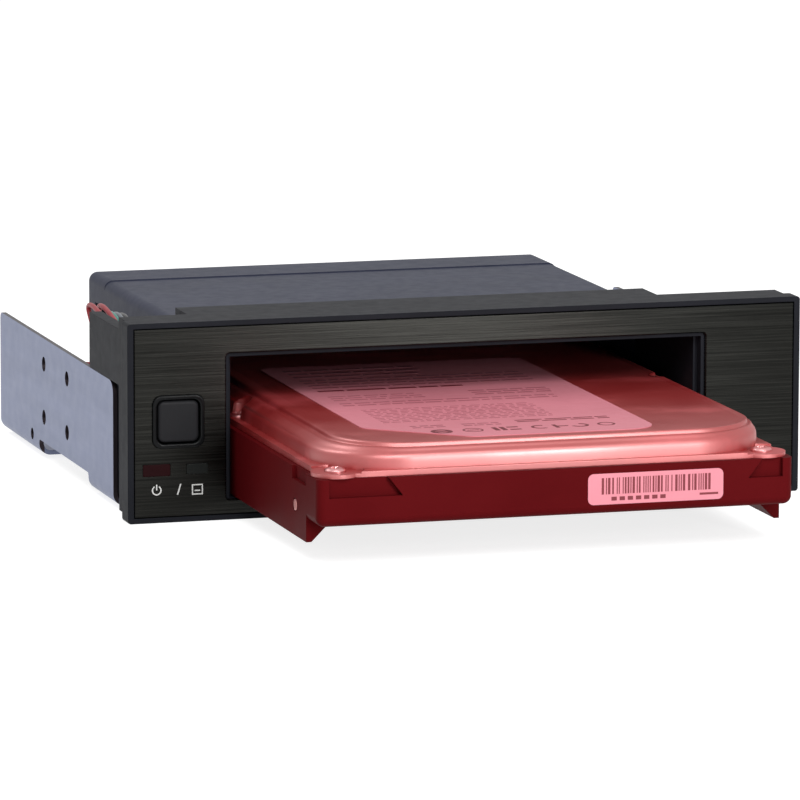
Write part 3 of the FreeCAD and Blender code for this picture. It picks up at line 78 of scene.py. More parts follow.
class Shader:
    """A material with one Principled surface and short calls for its procedural detail."""

    def __init__(self, name, **settings):
        self.material = bpy.data.materials.new(name)
        self.material.use_nodes = True
        self.tree = self.material.node_tree
        self.surface = self.tree.nodes["Principled BSDF"]
        for label, level in settings.items():
            self.surface.inputs[label.replace("_", " ")].default_value = level

    def add(self, kind, **settings):
        made = self.tree.nodes.new("ShaderNode" + kind)
        for label, level in settings.items():
            setattr(made, label, level)
        return made

    def link(self, source, target):
        self.tree.links.new(source, target)

    def into(self, source, label):
        self.link(source, self.surface.inputs[label])

    def place(self, stretch):
        """Object coordinates, stretched along each axis."""
        where = self.add("TexCoord")
        mapping = self.add("Mapping")
        mapping.inputs["Scale"].default_value = stretch
        self.link(where.outputs["Object"], mapping.inputs["Vector"])
        return mapping.outputs["Vector"]

    def noise(self, scale, detail=3.0, stretch=(1, 1, 1), rough=0.5):
        made = self.add("TexNoise")
        made.inputs["Scale"].default_value = scale
        made.inputs["Detail"].default_value = detail
        made.inputs["Roughness"].default_value = rough
        self.link(self.place(stretch), made.inputs["Vector"])
        return made.outputs["Fac"]

    def ramp(self, pattern, low, high, spread=(0.3, 0.7)):
        """Spreads a 0 to 1 pattern between two colours."""
        made = self.add("ValToRGB")
        for stop, at, colour in zip(made.color_ramp.elements, spread, (low, high)):
            stop.position = at
            stop.color = colour
        self.link(pattern, made.inputs["Fac"])
        return made.outputs["Color"]

    def roughen(self, pattern, middle, swing):
        """Roughness that follows a 0 to 1 pattern, up to swing either side of its middle."""
        made = self.add("MapRange")
        made.inputs["From Min"].default_value = 0.3
        made.inputs["From Max"].default_value = 0.7
        made.inputs["To Min"].default_value = middle - swing
        made.inputs["To Max"].default_value = middle + swing
        self.link(pattern, made.inputs["Value"])
        self.into(made.outputs["Result"], "Roughness")

    def bump(self, pattern, depth, strength, edge=0.0):
        """Relief of a depth in metres, over edges that read as rounded by a radius in millimetres."""
        made = self.add("Bump")
        made.inputs["Strength"].default_value = strength
        made.inputs["Distance"].default_value = depth
        self.link(pattern, made.inputs["Height"])
        if edge:
            rounding = self.add("Bevel", samples=4)
            rounding.inputs["Radius"].default_value = edge * MM
            self.link(rounding.outputs["Normal"], made.inputs["Normal"])
        self.into(made.outputs["Normal"], "Normal")


def moulded(name, dark, light, roughness, ior=1.45, grain=2600.0):
    """Moulded plastic with a fine spark-eroded grain, slow colour drift and worn-in edges."""
    shader = Shader(name, IOR=ior)
    shader.into(shader.ramp(shader.noise(scale=70.0, detail=5.0), dark, light), "Base Color")
    shader.roughen(shader.noise(scale=400.0, detail=5.0), roughness, 0.03)
    shader.bump(shader.noise(scale=grain, detail=2.0), depth=0.00001, strength=0.6, edge=0.25)
    return shader.material


def brushed(name, dark, light, roughness):
    """Aluminium brushed along X."""
    shader = Shader(name, Metallic=1.0, Anisotropic=0.75, Anisotropic_Rotation=0.25)
    streaks = shader.noise(scale=70.0, detail=7.0, stretch=(0.35, 1.0, 42.0), rough=0.75)
    shader.into(shader.ramp(streaks, dark, light), "Base Color")
    shader.roughen(streaks, roughness, 0.08)
    tangent = shader.add("Tangent", direction_type="RADIAL", axis="Z")
    shader.into(tangent.outputs["Tangent"], "Tangent")
    shader.bump(streaks, depth=0.000012, strength=0.5, edge=0.12)
    return shader.material


def cut_edges_and_shade(shader, colour, beyond, tone):
    """Puts a darker tone on faces that don't look along X, where they lie beyond so many mm from the middle:
    partly bare cut edges, partly painted shade on the edges and inside the holes.
    """
    facing = shader.add("SeparateXYZ")
    shader.link(shader.add("NewGeometry").outputs["Normal"], facing.inputs["Vector"])
    spot = shader.add("SeparateXYZ")
    shader.link(shader.add("TexCoord").outputs["Object"], spot.inputs["Vector"])

    def test(source, operation, limit):
        """1 where the size of source passes its limit."""
        size = shader.add("Math", operation="ABSOLUTE")
        shader.link(source, size.inputs[0])
        made = shader.add("Math", operation=operation)
        shader.link(size.outputs[0], made.inputs[0])
        made.inputs[1].default_value = limit
        return made.outputs[0]

    both = shader.add("Math", operation="MULTIPLY")
    shader.link(test(facing.outputs["X"], "LESS_THAN", 0.6), both.inputs[0])
    shader.link(test(spot.outputs["X"], "GREATER_THAN", beyond * MM), both.inputs[1])
    mixed = shader.add("Mix", data_type="RGBA")
    shader.link(both.outputs[0], mixed.inputs["Factor"])
    shader.link(colour, mixed.inputs[COLOUR_A])
    mixed.inputs[COLOUR_B].default_value = tone
    return mixed.outputs[COLOUR_MIXED]


def rolled(name, dark, light, roughness, cut_and_shade=None):
    """Rolled and plated sheet, or turned metal. The last argument holds where darker edges start and their
    tone: partly bare cut edges, partly painted shade on the edges and in the holes.
    """
    shader = Shader(name, Metallic=0.9)
    colour = shader.ramp(shader.noise(scale=90.0, detail=6.0, stretch=(1.0, 0.25, 3.0)), dark, light)
    if cut_and_shade:
        colour = cut_edges_and_shade(shader, colour, *cut_and_shade)
    shader.into(colour, "Base Color")
    shader.roughen(shader.noise(scale=260.0, detail=5.0), roughness, 0.03)
    shader.bump(shader.noise(scale=900.0), depth=0.00001, strength=0.3, edge=0.15)
    return shader.material


def red_metal(name, dark, light, roughness, ior, tint, smudge=0.05, edge=0.25, spread=(0.3, 0.7)):
    """Metal under clear red colour: a deep red body with a pale red shine and faint smudges."""
    shader = Shader(name, IOR=ior, Specular_Tint=tint)
    cloud = shader.noise(scale=38.0, detail=6.0, stretch=(1.0, 1.6, 1.0), rough=0.6)
    shader.into(shader.ramp(cloud, dark, light, spread), "Base Color")
    shader.roughen(cloud, roughness, smudge)
    shader.bump(shader.noise(scale=1500.0), depth=0.00001, strength=0.25, edge=edge)
    return shader.material


def printed(name, dark, light, roughness):
    """Label foil or printing ink, with faint fibre and a slow change of tone."""
    shader = Shader(name, IOR=1.35)
    shader.into(shader.ramp(shader.noise(scale=26.0, detail=4.0), dark, light), "Base Color")
    shader.roughen(shader.noise(scale=300.0), roughness, 0.06)
    fibre = shader.noise(scale=1800.0, detail=4.0, stretch=(1.0, 0.4, 1.0))
    shader.bump(fibre, depth=0.000008, strength=0.4)
    return shader.material


WING_INSIDE = 71.8  # the bracket's wings lie further out than this
# A darker tone for the wings' edges and the insides of their holes: partly bare cut steel, partly painted
# shade.
EDGE_SHADE_TONE = srgb(52, 46, 50)
CASTING_SHINE, LID_SHINE, SCREW_SHINE = (1.0, 0.4, 0.4, 1.0), (1.0, 0.5, 0.49, 1.0), (1.0, 0.56, 0.56, 1.0)

# Each finish: its maker, the darkest and the lightest display colour, the roughness, and what else it takes.
FINISHES = {
    "bezel_plastic": (moulded, (22, 23, 27), (26, 27, 32), 0.5, dict(ior=1.12)),
    "housing_plastic": (moulded, (37, 40, 55), (42, 45, 61), 0.5, dict(ior=1.18)),
    "face_aluminium": (brushed, (20, 20, 19), (38, 38, 36), 0.26, {}),
    "gloss_plastic": (moulded, (8, 9, 10), (12, 13, 14), 0.2, dict(ior=1.2, grain=800.0)),
    "cap_plastic": (moulded, (24, 24, 26), (28, 28, 30), 0.4, dict(ior=1.16)),
    "red_window": (moulded, (24, 7, 9), (32, 10, 12), 0.3, dict(ior=1.12)),
    "dark_window": (moulded, (16, 18, 17), (22, 24, 23), 0.3, dict(ior=1.2)),
    "clear_emitter": (moulded, (190, 190, 185), (210, 210, 205), 0.2, {}),
    # Zinc steel: its wings' edges and hole insides take a darker tone, partly cut steel and partly painted
    # shade.
    "zinc_steel": (rolled, (108, 115, 139), (117, 124, 149), 0.45, dict(cut_and_shade=(WING_INSIDE, EDGE_SHADE_TONE))),
    "screw_steel": (rolled, (150, 150, 155), (190, 190, 195), 0.3, {}),
    "board": (moulded, (14, 60, 34), (20, 76, 44), 0.35, {}),
    "connector_plastic": (moulded, (18, 18, 20), (26, 26, 28), 0.4, {}),
    "header_plastic": (moulded, (222, 218, 202), (232, 229, 216), 0.4, {}),
    "contact_metal": (rolled, (212, 170, 90), (228, 190, 110), 0.25, {}),
    "component": (moulded, (26, 26, 28), (36, 36, 38), 0.5, {}),
    "casting_red": (red_metal, (68, 8, 11), (74, 11, 14), 0.5, dict(ior=1.09, tint=CASTING_SHINE)),
    "lid_red": (red_metal, (114, 9, 11), (150, 46, 50), 0.39,
                dict(ior=3.0, tint=LID_SHINE, smudge=0.06, spread=(0.52, 0.72))),
    "lid_screw_red": (red_metal, (96, 20, 24), (120, 34, 38), 0.3,
                      dict(ior=6.0, tint=SCREW_SHINE, smudge=0.06, edge=0.1)),
    "label_red": (printed, (180, 107, 117), (191, 117, 128), 0.5, {}),
    "label_ink": (printed, (92, 26, 34), (104, 34, 42), 0.5, {}),
    "fine_ink": (printed, (134, 70, 80), (148, 82, 92), 0.5, {}),
    # Pale metal in the side holes' mouths: partly thread metal, partly a painted highlight for their glints.
    "thread_metal": (rolled, (226, 150, 148), (240, 168, 164), 0.3, {}),
    "legend_ink": (printed, (176, 176, 174), (196, 196, 194), 0.5, {}),
    "wire_red": (moulded, (128, 34, 42), (144, 42, 50), 0.4, dict(ior=1.3)),
    "wire_green": (moulded, (30, 104, 94), (36, 118, 106), 0.35, dict(ior=1.4)),
    "wire_white": (moulded, (76, 80, 88), (90, 94, 102), 0.35, dict(ior=1.4)),
    "wire_black": (moulded, (22, 22, 24), (28, 28, 30), 0.35, dict(ior=1.4)),
}
MATERIALS = {name: maker(name, srgb(*dark), srgb(*light), roughness, **more)
             for name, (maker, dark, light, roughness, more) in FINISHES.items()}


def dress():
    """Gives every CAD node the finish of its own slot."""
    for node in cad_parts.values():
        for spot in node.material_slots:
            spot.material = MATERIALS[spot.material.name.split(".")[0]]


# ---------------------------------------------------------------- mesh helpers

def piece(name, body, finish, work):
    """A mesh piece from a filled bmesh in millimetres, riding on a body."""
    bmesh.ops.recalc_face_normals(work, faces=work.faces)
    bmesh.ops.scale(work, vec=(MM, MM, MM), verts=work.verts)
    mesh = bpy.data.meshes.new(name)
    work.to_mesh(mesh)
    work.free()
    made = bpy.data.objects.new(name, mesh)
    bpy.context.scene.collection.objects.link(made)
    made.data.materials.append(MATERIALS[finish])
    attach(made, body)
    return made


def bridge(work, low, high):
    """Faces between two closed rings of as many vertices."""
    for here in range(len(low)):
        there = (here + 1) % len(low)
        work.faces.new((low[here], low[there], high[there], high[here]))


def prism(work, outline, plane, thickness):
    """A thin closed solid on a plane, which is (origin, right, up, out)."""
    origin, right, up, out = plane
    rings = []
    for lift in (0.0, thickness):
        rings.append([work.verts.new(origin + right * x + up * y + out * lift) for x, y in outline])
    work.faces.new(rings[0][::-1])
    work.faces.new(rings[1])
    bridge(work, rings[0], rings[1])


def bar(x, y, width, height):
    """An upright rectangle from its lower left corner."""
    return [(x, y), (x + width, y), (x + width, y + height), (x, y + height)]


def arc_band(x, y, radius, width, start, end, steps=10):
    """A curved stroke between two angles in degrees, anticlockwise from the right."""
    angles = [math.radians(start + (end - start) * step / steps) for step in range(steps + 1)]
    outer = [(x + radius * math.cos(turn), y + radius * math.sin(turn)) for turn in angles]
    inner = [(x + (radius - width) * math.cos(turn), y + (radius - width) * math.sin(turn))
             for turn in angles]
    return outer + inner[::-1]


def circle_bands(x, y, radius, width):
    """A ring as two half strokes."""
    return [arc_band(x, y, radius, width, 0, 180), arc_band(x, y, radius, width, 180, 360)]


LOBES = 6


def lathe(work, profile, centre, axis, steps):
    """A closed turned solid. Each profile row is (along, radius, lobe depth)."""
    across = axis.orthogonal().normalized()
    beside = axis.cross(across)
    rings = []
    for along, radius, lobe in profile:
        ring = []
        for step in range(steps):
            turn = 2 * math.pi * step / steps
            reach = radius + lobe * math.cos(LOBES * turn)
            out = across * math.cos(turn) + beside * math.sin(turn)
            ring.append(work.verts.new(centre + axis * along + out * reach))
        rings.append(ring)
    for low, high in zip(rings, rings[1:]):
        bridge(work, low, high)
    work.faces.new(rings[0][::-1])
    work.faces.new(rings[-1])


# ---------------------------------------------------------------- top label: plain icons and rows of marks

INK = 0.03  # thickness of print
ICON_Y = 7.4  # middle of the icon row, from the label's front edge
ICONS = (
    circle_bands(14.5, ICON_Y, 2.3, 0.9) + [bar(13.2, ICON_Y - 0.5, 2.6, 1.0)],
    circle_bands(21.2, ICON_Y, 2.2, 0.4) + [bar(20.0, ICON_Y - 0.3, 2.4, 0.6)],
    [bar(25.6, ICON_Y - 1.9, 1.0, 3.8), bar(27.2, ICON_Y - 1.9, 1.0, 3.8),
     bar(28.8, ICON_Y - 1.9, 2.4, 1.0), bar(28.8, ICON_Y + 0.9, 2.4, 1.0)],
    [arc_band(35.7, ICON_Y, 2.0, 0.6, 60, 300)],
    [bar(38.6, ICON_Y - 1.9, 0.8, 3.8), bar(39.4, ICON_Y - 0.4, 2.2, 0.7)],
    [arc_band(44.1, ICON_Y, 2.0, 0.7, 200, 440)],
    circle_bands(49.9, ICON_Y, 1.9, 0.5),
)

# A block of marks, from the label's front left corner. An edge below 0 counts from the right side.
Marks = collections.namedtuple("Marks", "left right first rows pitch height strokes seed")
BOLD_MARKS = (
    Marks(33.0, -6.0, 14.4, 2, 1.7, 0.7, (2.4, 6.0), 5),
    Marks(4.0, 36.0, 62.0, 1, 2.2, 1.5, (3.0, 9.0), 11),
)
FINE_MARKS = (
    Marks(10.0, 17.0, 12.6, 2, 1.9, 0.8, (1.2, 3.4), 3),
    Marks(21.0, 29.0, 12.6, 2, 1.9, 0.8, (1.2, 3.4), 4),
    Marks(6.0, -16.0, 20.6, 10, 1.8, 0.6, (0.7, 2.6), 7),
    Marks(4.0, -8.0, 43.0, 2, 2.6, 0.9, (1.6, 5.0), 13),
    Marks(4.0, 24.0, 50.0, 3, 2.4, 0.8, (1.2, 4.0), 17),
    Marks(-24.0, -6.0, 50.0, 3, 2.4, 1.1, (2.4, 5.0), 19),
    Marks(4.0, -6.0, 66.0, 4, 3.4, 1.4, (2.0, 6.0), 23),
    Marks(4.0, -26.0, 80.6, 3, 4.2, 2.0, (3.0, 9.0), 29),
)
GAPS_BETWEEN_MARKS = (0.45, 0.9)


def print_marks(work, plane, wide, block):
    """Rows of short plain strokes that stand for small print, on a label so many millimetres wide."""
    draw = random.Random(block.seed)
    left, right = [edge if edge > 0 else wide + edge for edge in (block.left, block.right)]
    for row in range(block.rows):
        x = left
        low = block.first + row * block.pitch
        while x < right:
            width = min(draw.uniform(*block.strokes), right - x)
            if width > block.height:
                prism(work, bar(x, low, width, block.height), plane, INK)
            x += width + draw.uniform(*GAPS_BETWEEN_MARKS)


def top_label_print():
    """Dark icons and bold rows as one piece, the paler small print as another."""
    low, high = box_mm("drive_top_label")
    plane = (Vector((low.x, low.y, high.z)), X_AXIS, Y_AXIS, Z_AXIS)
    wide = high.x - low.x
    work = bmesh.new()
    for icon in ICONS:
        for outline in icon:
            prism(work, outline, plane, INK)
    for block in BOLD_MARKS:
        print_marks(work, plane, wide, block)
    piece("top_label_icons", "drive", "label_ink", work)
    work = bmesh.new()
    for block in FINE_MARKS:
        print_marks(work, plane, wide, block)
    piece("top_label_print", "drive", "fine_ink", work)


# ---------------------------------------------------------------- end label: bars and blocks

BARS_LEFT, BARS_RIGHT, BARS_LOW, BARS_TALL = 2.9, 26.2, 2.1, 3.4
BAR_WIDTHS, BAR_GAPS = (0.22, 0.22, 0.36, 0.5), (0.24, 0.24, 0.4, 0.6)
BLOCKS, BLOCKS_LEFT, BLOCK_PITCH = 7, 5.0, 1.75


def end_label_print():
    """A random row of bars, plain blocks in place of a number, and a short rule."""
    low = box_mm("drive_end_label")[0]
    work = bmesh.new()
    plane = (Vector((low.x, low.y, low.z)), X_AXIS, Z_AXIS, -Y_AXIS)
    draw = random.Random(41)
    x = BARS_LEFT
    while x < BARS_RIGHT:
        width = draw.choice(BAR_WIDTHS)
        prism(work, bar(x, BARS_LOW, width, BARS_TALL), plane, INK)
        x += width + draw.choice(BAR_GAPS)
    for block in range(BLOCKS):
        prism(work, bar(BLOCKS_LEFT + BLOCK_PITCH * block, 0.75, 1.15, 0.8), plane, INK)
    prism(work, bar(24.0, 1.05, 4.0, 0.45), plane, INK)
    piece("end_label_print", "drive", "label_ink", work)


# ---------------------------------------------------------------- legend under the two lights

LEGEND_DROP, STROKE = 3.0, 0.26
DISK_HALF, DISK_LOW, DISK_TOP = 1.2, -1.26, 0.72


def light_legend():
    """Power sign, slanting stroke and disk box, on the faceplate under the two windows."""
    power_x, access_x = middle_mm("power_light_window")[0], middle_mm("access_light_window")[0]
    face_y = box_mm("faceplate")[0].y
    height = box_mm("power_light_window")[0].z - LEGEND_DROP
    plane = (Vector((0, face_y, height)), X_AXIS, Z_AXIS, -Y_AXIS)
    side_low, side_tall = -1.0, 1.72
    shapes = [
        arc_band(power_x, 0.0, 1.05, STROKE, 120, 420, 20),
        bar(power_x - STROKE / 2, 0.05, STROKE, 1.2),
        [(-63.75, -1.1), (-63.45, -1.1), (-62.75, 1.2), (-63.05, 1.2)],
        bar(access_x - DISK_HALF, DISK_TOP, 2 * DISK_HALF, STROKE),
        bar(access_x - DISK_HALF, side_low, STROKE, side_tall),
        bar(access_x + DISK_HALF - STROKE, side_low, STROKE, side_tall),
        bar(access_x - DISK_HALF, DISK_LOW, 2 * DISK_HALF, STROKE),
        bar(access_x - DISK_HALF / 2, -0.5, DISK_HALF, STROKE),
    ]
    work = bmesh.new()
    for outline in shapes:
        prism(work, outline, plane, INK)
    piece("light_legend", "cage", "legend_ink", work)


# ---------------------------------------------------------------- lid screws, and side hole threads with a painted glint

HEAD_RADIUS, SHANK_RADIUS, SHANK_LENGTH = 2.2, 1.0, 3.9
LOBED_SCREW = (
    (-SHANK_LENGTH, SHANK_RADIUS, 0), (0, SHANK_RADIUS, 0), (0, HEAD_RADIUS, 0), (0.3, HEAD_RADIUS, 0),
    (0.58, HEAD_RADIUS - 0.22, 0), (0.74, HEAD_RADIUS - 0.6, 0), (0.8, 1.3, 0), (0.76, 1.12, 0.16),
    (0.3, 1.05, 0.16),
)


def lid_screws():
    """Six lobed pan-head screws with their shanks, in place of the plain ones."""
    low, high = box_mm("drive_lid_screws")
    corner_seat, side_seat = high.z - 1.2, high.z - 0.8
    corner_x, side_x = high.x - HEAD_RADIUS - 1.6, high.x - HEAD_RADIUS
    side_y = middle_mm("drive_lid_screws")[1] + 1.0
    work = bmesh.new()
    for side in (-1, 1):
        for x, y, seat in ((corner_x, low.y + HEAD_RADIUS, corner_seat),
                           (corner_x, high.y - HEAD_RADIUS, corner_seat),
                           (side_x, side_y, side_seat)):
            lathe(work, LOBED_SCREW, Vector((side * x, y, seat)), Z_AXIS, 48)
    made = piece("lobed_lid_screws", "drive", "lid_screw_red", work)
    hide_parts("drive_lid_screws")


SIDE_HOLES_Y, SIDE_HOLE_Z = (-74.02, 27.58), 10.95
THREAD_RADIUS, THREAD_DEPTH, THREAD_TURNS = 1.38, 3.6, 6


def hole_threads_and_glints():
    """Ribbed metal just inside the mouths of the drive's four side holes, made bright as a painted highlight
    for the glints in them.
    """
    wall = box_mm("drive_casting")[1].x - 0.02
    profile = [(0, THREAD_RADIUS - 0.2, 0)]
    for turn in range(THREAD_TURNS):
        along = THREAD_DEPTH * (turn + 0.5) / THREAD_TURNS
        profile += [(along - 0.2, THREAD_RADIUS - 0.34, 0), (along + 0.1, THREAD_RADIUS - 0.16, 0)]
    profile += [(THREAD_DEPTH, THREAD_RADIUS - 0.4, 0), (THREAD_DEPTH + 0.2, THREAD_RADIUS - 0.4, 0)]
    work = bmesh.new()
    for side in (-1, 1):
        for y in SIDE_HOLES_Y:
            lathe(work, profile, Vector((side * wall, y, SIDE_HOLE_Z)), -X_AXIS * side, 28)
    piece("side_hole_threads_and_glints", "drive", "thread_metal", work)


# ---------------------------------------------------------------- wires

WIRE_RADIUS, WIRE_PITCH = 0.55, 2.1
WIRES = ("outer_red", "inner_red", "green", "white", "black")
MIDDLE_LANE = 2


def wire_route(lane):
    """One wire's points: up from the rear header, along the left wing, up, and over into the ear."""
    rear_mid, rear_y = middle_mm("rear_wire_header")
    front_mid, front_y = middle_mm("front_wire_header")
    across = WIRE_PITCH * (lane - MIDDLE_LANE)
    rear_x, front_x = rear_mid - across, front_mid + across
    turn_y = 78.3 - across
    run_x = -66.2 + WIRE_PITCH * lane
    side_x = -69.0 + 1.3 * lane + (1.0 if lane else 0.0)
    top = 38.3 - 0.25 * lane - (1.0 if lane > 1 else 0.0)
    back_y = 25.5 - (3.0 if lane > 1 else 0.0)
    out_of_header = [(rear_x, rear_y, 9.0), (rear_x, rear_y, 15.4)]
    through_notch = [(-44.0, turn_y, 14.2), (-49.0, turn_y, 14.4), (-53.0, turn_y, 15.9),
                     (-57.5, turn_y, 16.2)]
    along_wing = [(run_x, turn_y, 16.4), (run_x, 60.0, 16.0), (run_x, 44.6, 16.2), (side_x, 30.0, 17.5)]
    climb = [(side_x + 1.0, 20.0, 21.0), (side_x + 1.0, 18.5, 28.0), (side_x, back_y - 3.0, 35.0)]
    loop = [(side_x, back_y + 1.0, top), (side_x, back_y - 5.0, top + 0.6), (side_x, 9.0, top - 1.6),
            (side_x, 2.5, top - 4.0)]
    into_header = [(front_x, front_y, top - 6.0), (front_x, front_y, 29.0), (front_x, front_y, 23.0)]
    return out_of_header + through_notch + along_wing + climb + loop + into_header


def wires():
    """Five smooth insulated wires, in place of the CAD's, held in a header at both ends."""
    for lane, name in enumerate(WIRES):
        route = wire_route(lane)
        curve = bpy.data.curves.new(name + "_insulation", "CURVE")
        curve.dimensions = "3D"
        curve.resolution_u = 8
        curve.bevel_depth = WIRE_RADIUS * MM
        curve.bevel_resolution = 5
        curve.use_fill_caps = True
        line = curve.splines.new("NURBS")
        line.points.add(len(route) - 1)
        for point, spot in zip(line.points, route):
            point.co = (*[length * MM for length in spot], 1.0)
        line.order_u = 3
        line.use_endpoint_u = True
        finish = "wire_" + name.split("_")[-1]
        curve.materials.append(MATERIALS[finish])
        made = bpy.data.objects.new(name + "_insulation", curve)
        bpy.context.scene.collection.objects.link(made)
        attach(made, "cage")
        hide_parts(name + "_wire")


# ---------------------------------------------------------------- lid steps

# A ring's place is counted in steps inward from the casting's rim: 0 at the flange, 3 at the plateau.
RIM, REAR_RIM = 1.4, 3.4
LEFT_STEP, RIGHT_STEP, FRONT_STEP, BACK_STEP = 2.25, 0.95, 1.2, 3.0
PLATEAU_CORNER, CORNER_GROWTH, CORNER_PARTS = 15.0, 1.2, 14
NOTCH_X, NOTCH_ROOM, NOTCH_PART, NOTCH_PARTS = 47.2, 2.95, 0.36, 9

# Steps inward and height of each ring: up the skin that shows, then down its hidden inside.
FLANK = ((0.78, 19.45), (0.79, 19.9), (0.81, 20.5), (0.84, 21.2), (0.88, 21.8), (0.95, 22.25), (1.1, 22.62),
         (1.3, 22.9), (1.5, 23.12), (1.7, 23.4), (1.84, 23.66), (1.98, 23.84), (2.15, 23.92), (2.4, 23.92),
         (2.62, 23.86), (2.72, 23.9), (2.78, 24.1), (2.83, 24.4), (2.9, 24.62), (3.02, 24.74), (3.2, 24.78),
         (3.5, 24.76), (3.9, 24.69), (4.3, 24.62), (4.5, 24.57))
INSIDE = ((4.5, 24.2), (3.2, 22.0), (1.5, 20.2), (1.2, 19.45))
INSIDE_ROOM = 0.4


def lid_ring(inward, height, deeper):
    """Rounded outline of the lid so many steps inward, bitten by the room round its two side screws."""
    low, high = box_mm("drive_casting")
    left, right = low.x + RIM + LEFT_STEP * inward, high.x - RIM - RIGHT_STEP * inward
    front, back = low.y + RIM + FRONT_STEP * inward, high.y - REAR_RIM - BACK_STEP * inward
    radius = PLATEAU_CORNER + CORNER_GROWTH * (3 - inward)
    notch_y = (low.y + high.y) / 2
    room = NOTCH_ROOM + deeper

    def side(x, sign):
        spots = [(x, front + radius)]
        for part in range(-NOTCH_PARTS, NOTCH_PARTS + 1):
            offset = NOTCH_PART * part
            reach = math.sqrt(max(room * room - offset * offset, 0.0))
            edge = NOTCH_X - reach if reach else abs(x)
            spots.append((sign * min(abs(x), edge), notch_y + offset))
        return spots + [(x, back - radius)]

    def corner(x, y, start):
        turns = [math.radians(start + 90 * part / CORNER_PARTS) for part in range(1, CORNER_PARTS)]
        return [(x + radius * math.cos(turn), y + radius * math.sin(turn)) for turn in turns]

    ring = side(right, 1) + corner(right - radius, back - radius, 0)
    ring += [(right - radius, back), (0, back), (left + radius, back)]
    ring += corner(left + radius, back - radius, 90) + side(left, -1)[::-1]
    ring += corner(left + radius, front + radius, 180)
    ring += [(left + radius, front), (0, front), (right - radius, front)]
    ring += corner(right - radius, front + radius, 270)
    return [Vector((x, y, height)) for x, y in ring]


def lid_steps():
    """The pressed lid's soft steps: one broad flank, a crease, and a bead round the plateau."""
    work = bmesh.new()
    rings = [lid_ring(inward, height, 0.0) for inward, height in FLANK]
    rings += [lid_ring(inward, height, INSIDE_ROOM) for inward, height in INSIDE]
    rings = [[work.verts.new(spot) for spot in ring] for ring in rings]
    for low, high in zip(rings, rings[1:] + rings[:1]):
        bridge(work, low, high)
    made = piece("lid_steps", "drive", "lid_red", work)
    made.data.shade_smooth()
    made.data.set_sharp_from_angle(angle=math.radians(50))


# ---------------------------------------------------------------- camera, floor and light

AZIMUTH, ELEVATION, ROLL = math.radians(16.67), math.radians(9.35), math.radians(0.15)
TARGET = Vector((-15.05 * MM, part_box("front_bezel")[0].y, 23.77 * MM))
DISTANCE, SENSOR, LENS = 1.45422, 36.0, 310.34


def camera():
    """The photo's own view: from the front and a little above, slightly to the left of the cage."""
    ahead = Vector((math.sin(AZIMUTH) * math.cos(ELEVATION),
                    math.cos(AZIMUTH) * math.cos(ELEVATION), -math.sin(ELEVATION)))
    right = Vector((math.cos(AZIMUTH), -math.sin(AZIMUTH), 0.0))
    up = right.cross(ahead)
    leaning_right = right * math.cos(ROLL) + up * math.sin(ROLL)
    leaning_up = up * math.cos(ROLL) - right * math.sin(ROLL)
    made = bpy.data.objects.new("camera", bpy.data.cameras.new("camera"))
    bpy.context.scene.collection.objects.link(made)
    made.data.sensor_width = SENSOR
    made.data.lens = LENS
    made.data.clip_end = 20.0
    turn = Matrix((leaning_right, leaning_up, -ahead)).transposed().to_4x4()
    made.matrix_world = Matrix.Translation(TARGET - ahead * DISTANCE) @ turn
    bpy.context.scene.camera = made


def lamp(name, place, aim, size, power):
    """A rectangular lamp, in metres and watts, turned towards its aim."""
    made = bpy.data.objects.new(name, bpy.data.lights.new(name, "AREA"))
    bpy.context.scene.collection.objects.link(made)
    made.data.shape = "RECTANGLE"
    made.data.size, made.data.size_y = size
    made.data.energy = power
    made.location = place
    made.rotation_euler = (Vector(aim) - Vector(place)).to_track_quat("-Z", "Y").to_euler()


def seen_or_mirrored(tree):
    """1 for camera, glossy and transmission rays, 0 for the rest."""
    paths = tree.nodes.new("ShaderNodeLightPath")
    total = paths.outputs["Is Camera Ray"]
    for label in ("Is Glossy Ray", "Is Transmission Ray"):
        both = tree.nodes.new("ShaderNodeMath")
        both.operation = "MAXIMUM"
        tree.links.new(total, both.inputs[0])
        tree.links.new(paths.outputs[label], both.inputs[1])
        total = both.outputs[0]
    return total


def ranged(tree, source, low, high):
    """Spreads a 0 to 1 value between two numbers."""
    made = tree.nodes.new("ShaderNodeMapRange")
    made.inputs["To Min"].default_value = low
    made.inputs["To Max"].default_value = high
    tree.links.new(source, made.inputs["Value"])
    return made.outputs["Result"]


FLOOR_HALF = 3.0
FLOOR_GLOW = 0.8  # what the floor gives out to the lens and to reflections
FLOOR_SEEN, FLOOR_PALE = 0.4, 0.85  # its grey for the lens and reflections, and for all other light
SKY = 0.55  # strength of the white surroundings as a light


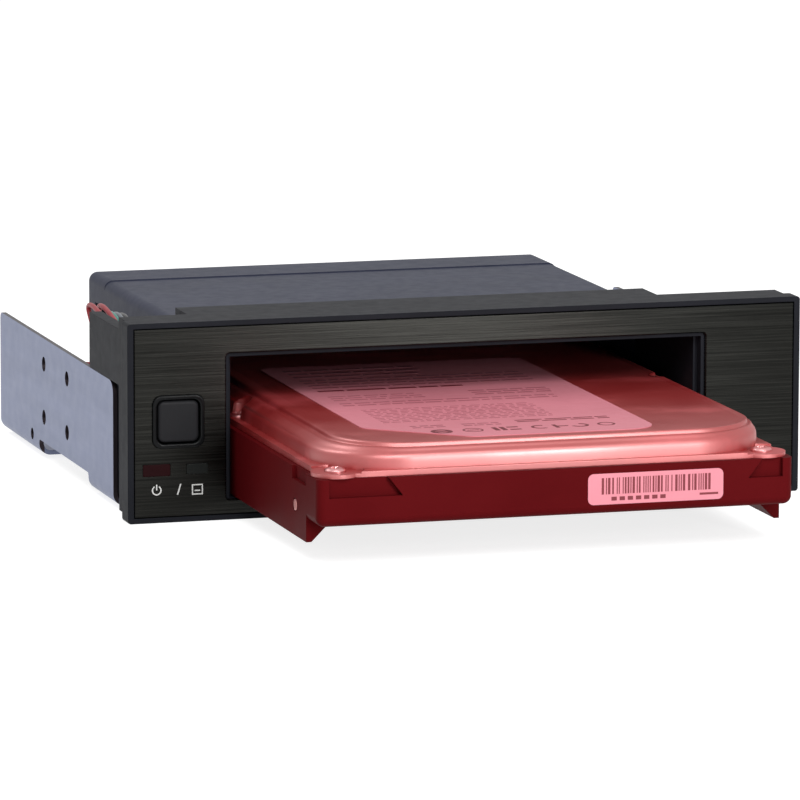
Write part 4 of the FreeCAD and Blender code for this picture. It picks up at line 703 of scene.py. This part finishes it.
def floor_material():
    """White to the lens and in reflections, with a faint shadow, and pale to the lamps."""
    made = bpy.data.materials.new("floor")
    made.use_nodes = True
    tree = made.node_tree
    surface = tree.nodes["Principled BSDF"]
    surface.inputs["Roughness"].default_value = 1.0
    surface.inputs["IOR"].default_value = 1.0
    surface.inputs["Emission Color"].default_value = (1, 1, 1, 1)
    seen = seen_or_mirrored(tree)
    tree.links.new(ranged(tree, seen, 0.0, FLOOR_GLOW), surface.inputs["Emission Strength"])
    shade = tree.nodes.new("ShaderNodeMix")
    shade.data_type = "RGBA"
    shade.inputs[COLOUR_A].default_value = (FLOOR_PALE, FLOOR_PALE, FLOOR_PALE, 1)
    shade.inputs[COLOUR_B].default_value = (FLOOR_SEEN, FLOOR_SEEN, FLOOR_SEEN, 1)
    tree.links.new(seen, shade.inputs["Factor"])
    tree.links.new(shade.outputs[COLOUR_MIXED], surface.inputs["Base Color"])
    return made


def stage():
    """A wide floor under the part, and white surroundings."""
    floor_mesh = bpy.data.meshes.new("floor")
    corners = [(-FLOOR_HALF, -FLOOR_HALF, 0), (FLOOR_HALF, -FLOOR_HALF, 0),
               (FLOOR_HALF, FLOOR_HALF, 0), (-FLOOR_HALF, FLOOR_HALF, 0)]
    floor_mesh.from_pydata(corners, [], [(0, 1, 2, 3)])
    floor = bpy.data.objects.new("floor", floor_mesh)
    bpy.context.scene.collection.objects.link(floor)
    floor.data.materials.append(floor_material())
    world = bpy.data.worlds.new("studio")
    bpy.context.scene.world = world
    world.use_nodes = True
    tree = world.node_tree
    background = tree.nodes["Background"]
    background.inputs["Color"].default_value = (1, 1, 1, 1)
    tree.links.new(ranged(tree, seen_or_mirrored(tree), SKY, 1.0), background.inputs["Strength"])


dress()
top_label_print()
end_label_print()
light_legend()
wires()
lid_steps()
lid_screws()
hole_threads_and_glints()
camera()
stage()
lamp("key_softbox", place=(-0.1, -0.75, 0.65), aim=(0, -0.03, 0.02), size=(0.7, 0.5), power=8.0)
lamp("rim_light", place=(-0.4, 0.3, 0.62), aim=(-0.03, -0.06, 0.02), size=(0.3, 0.3), power=1.6)
lamp("face_light", place=(0.166, -0.6, 0.13), aim=(-0.008, -0.03, 0.035), size=(0.05, 0.2), power=1.7)
bpy.context.scene.view_settings.view_transform = "Standard"
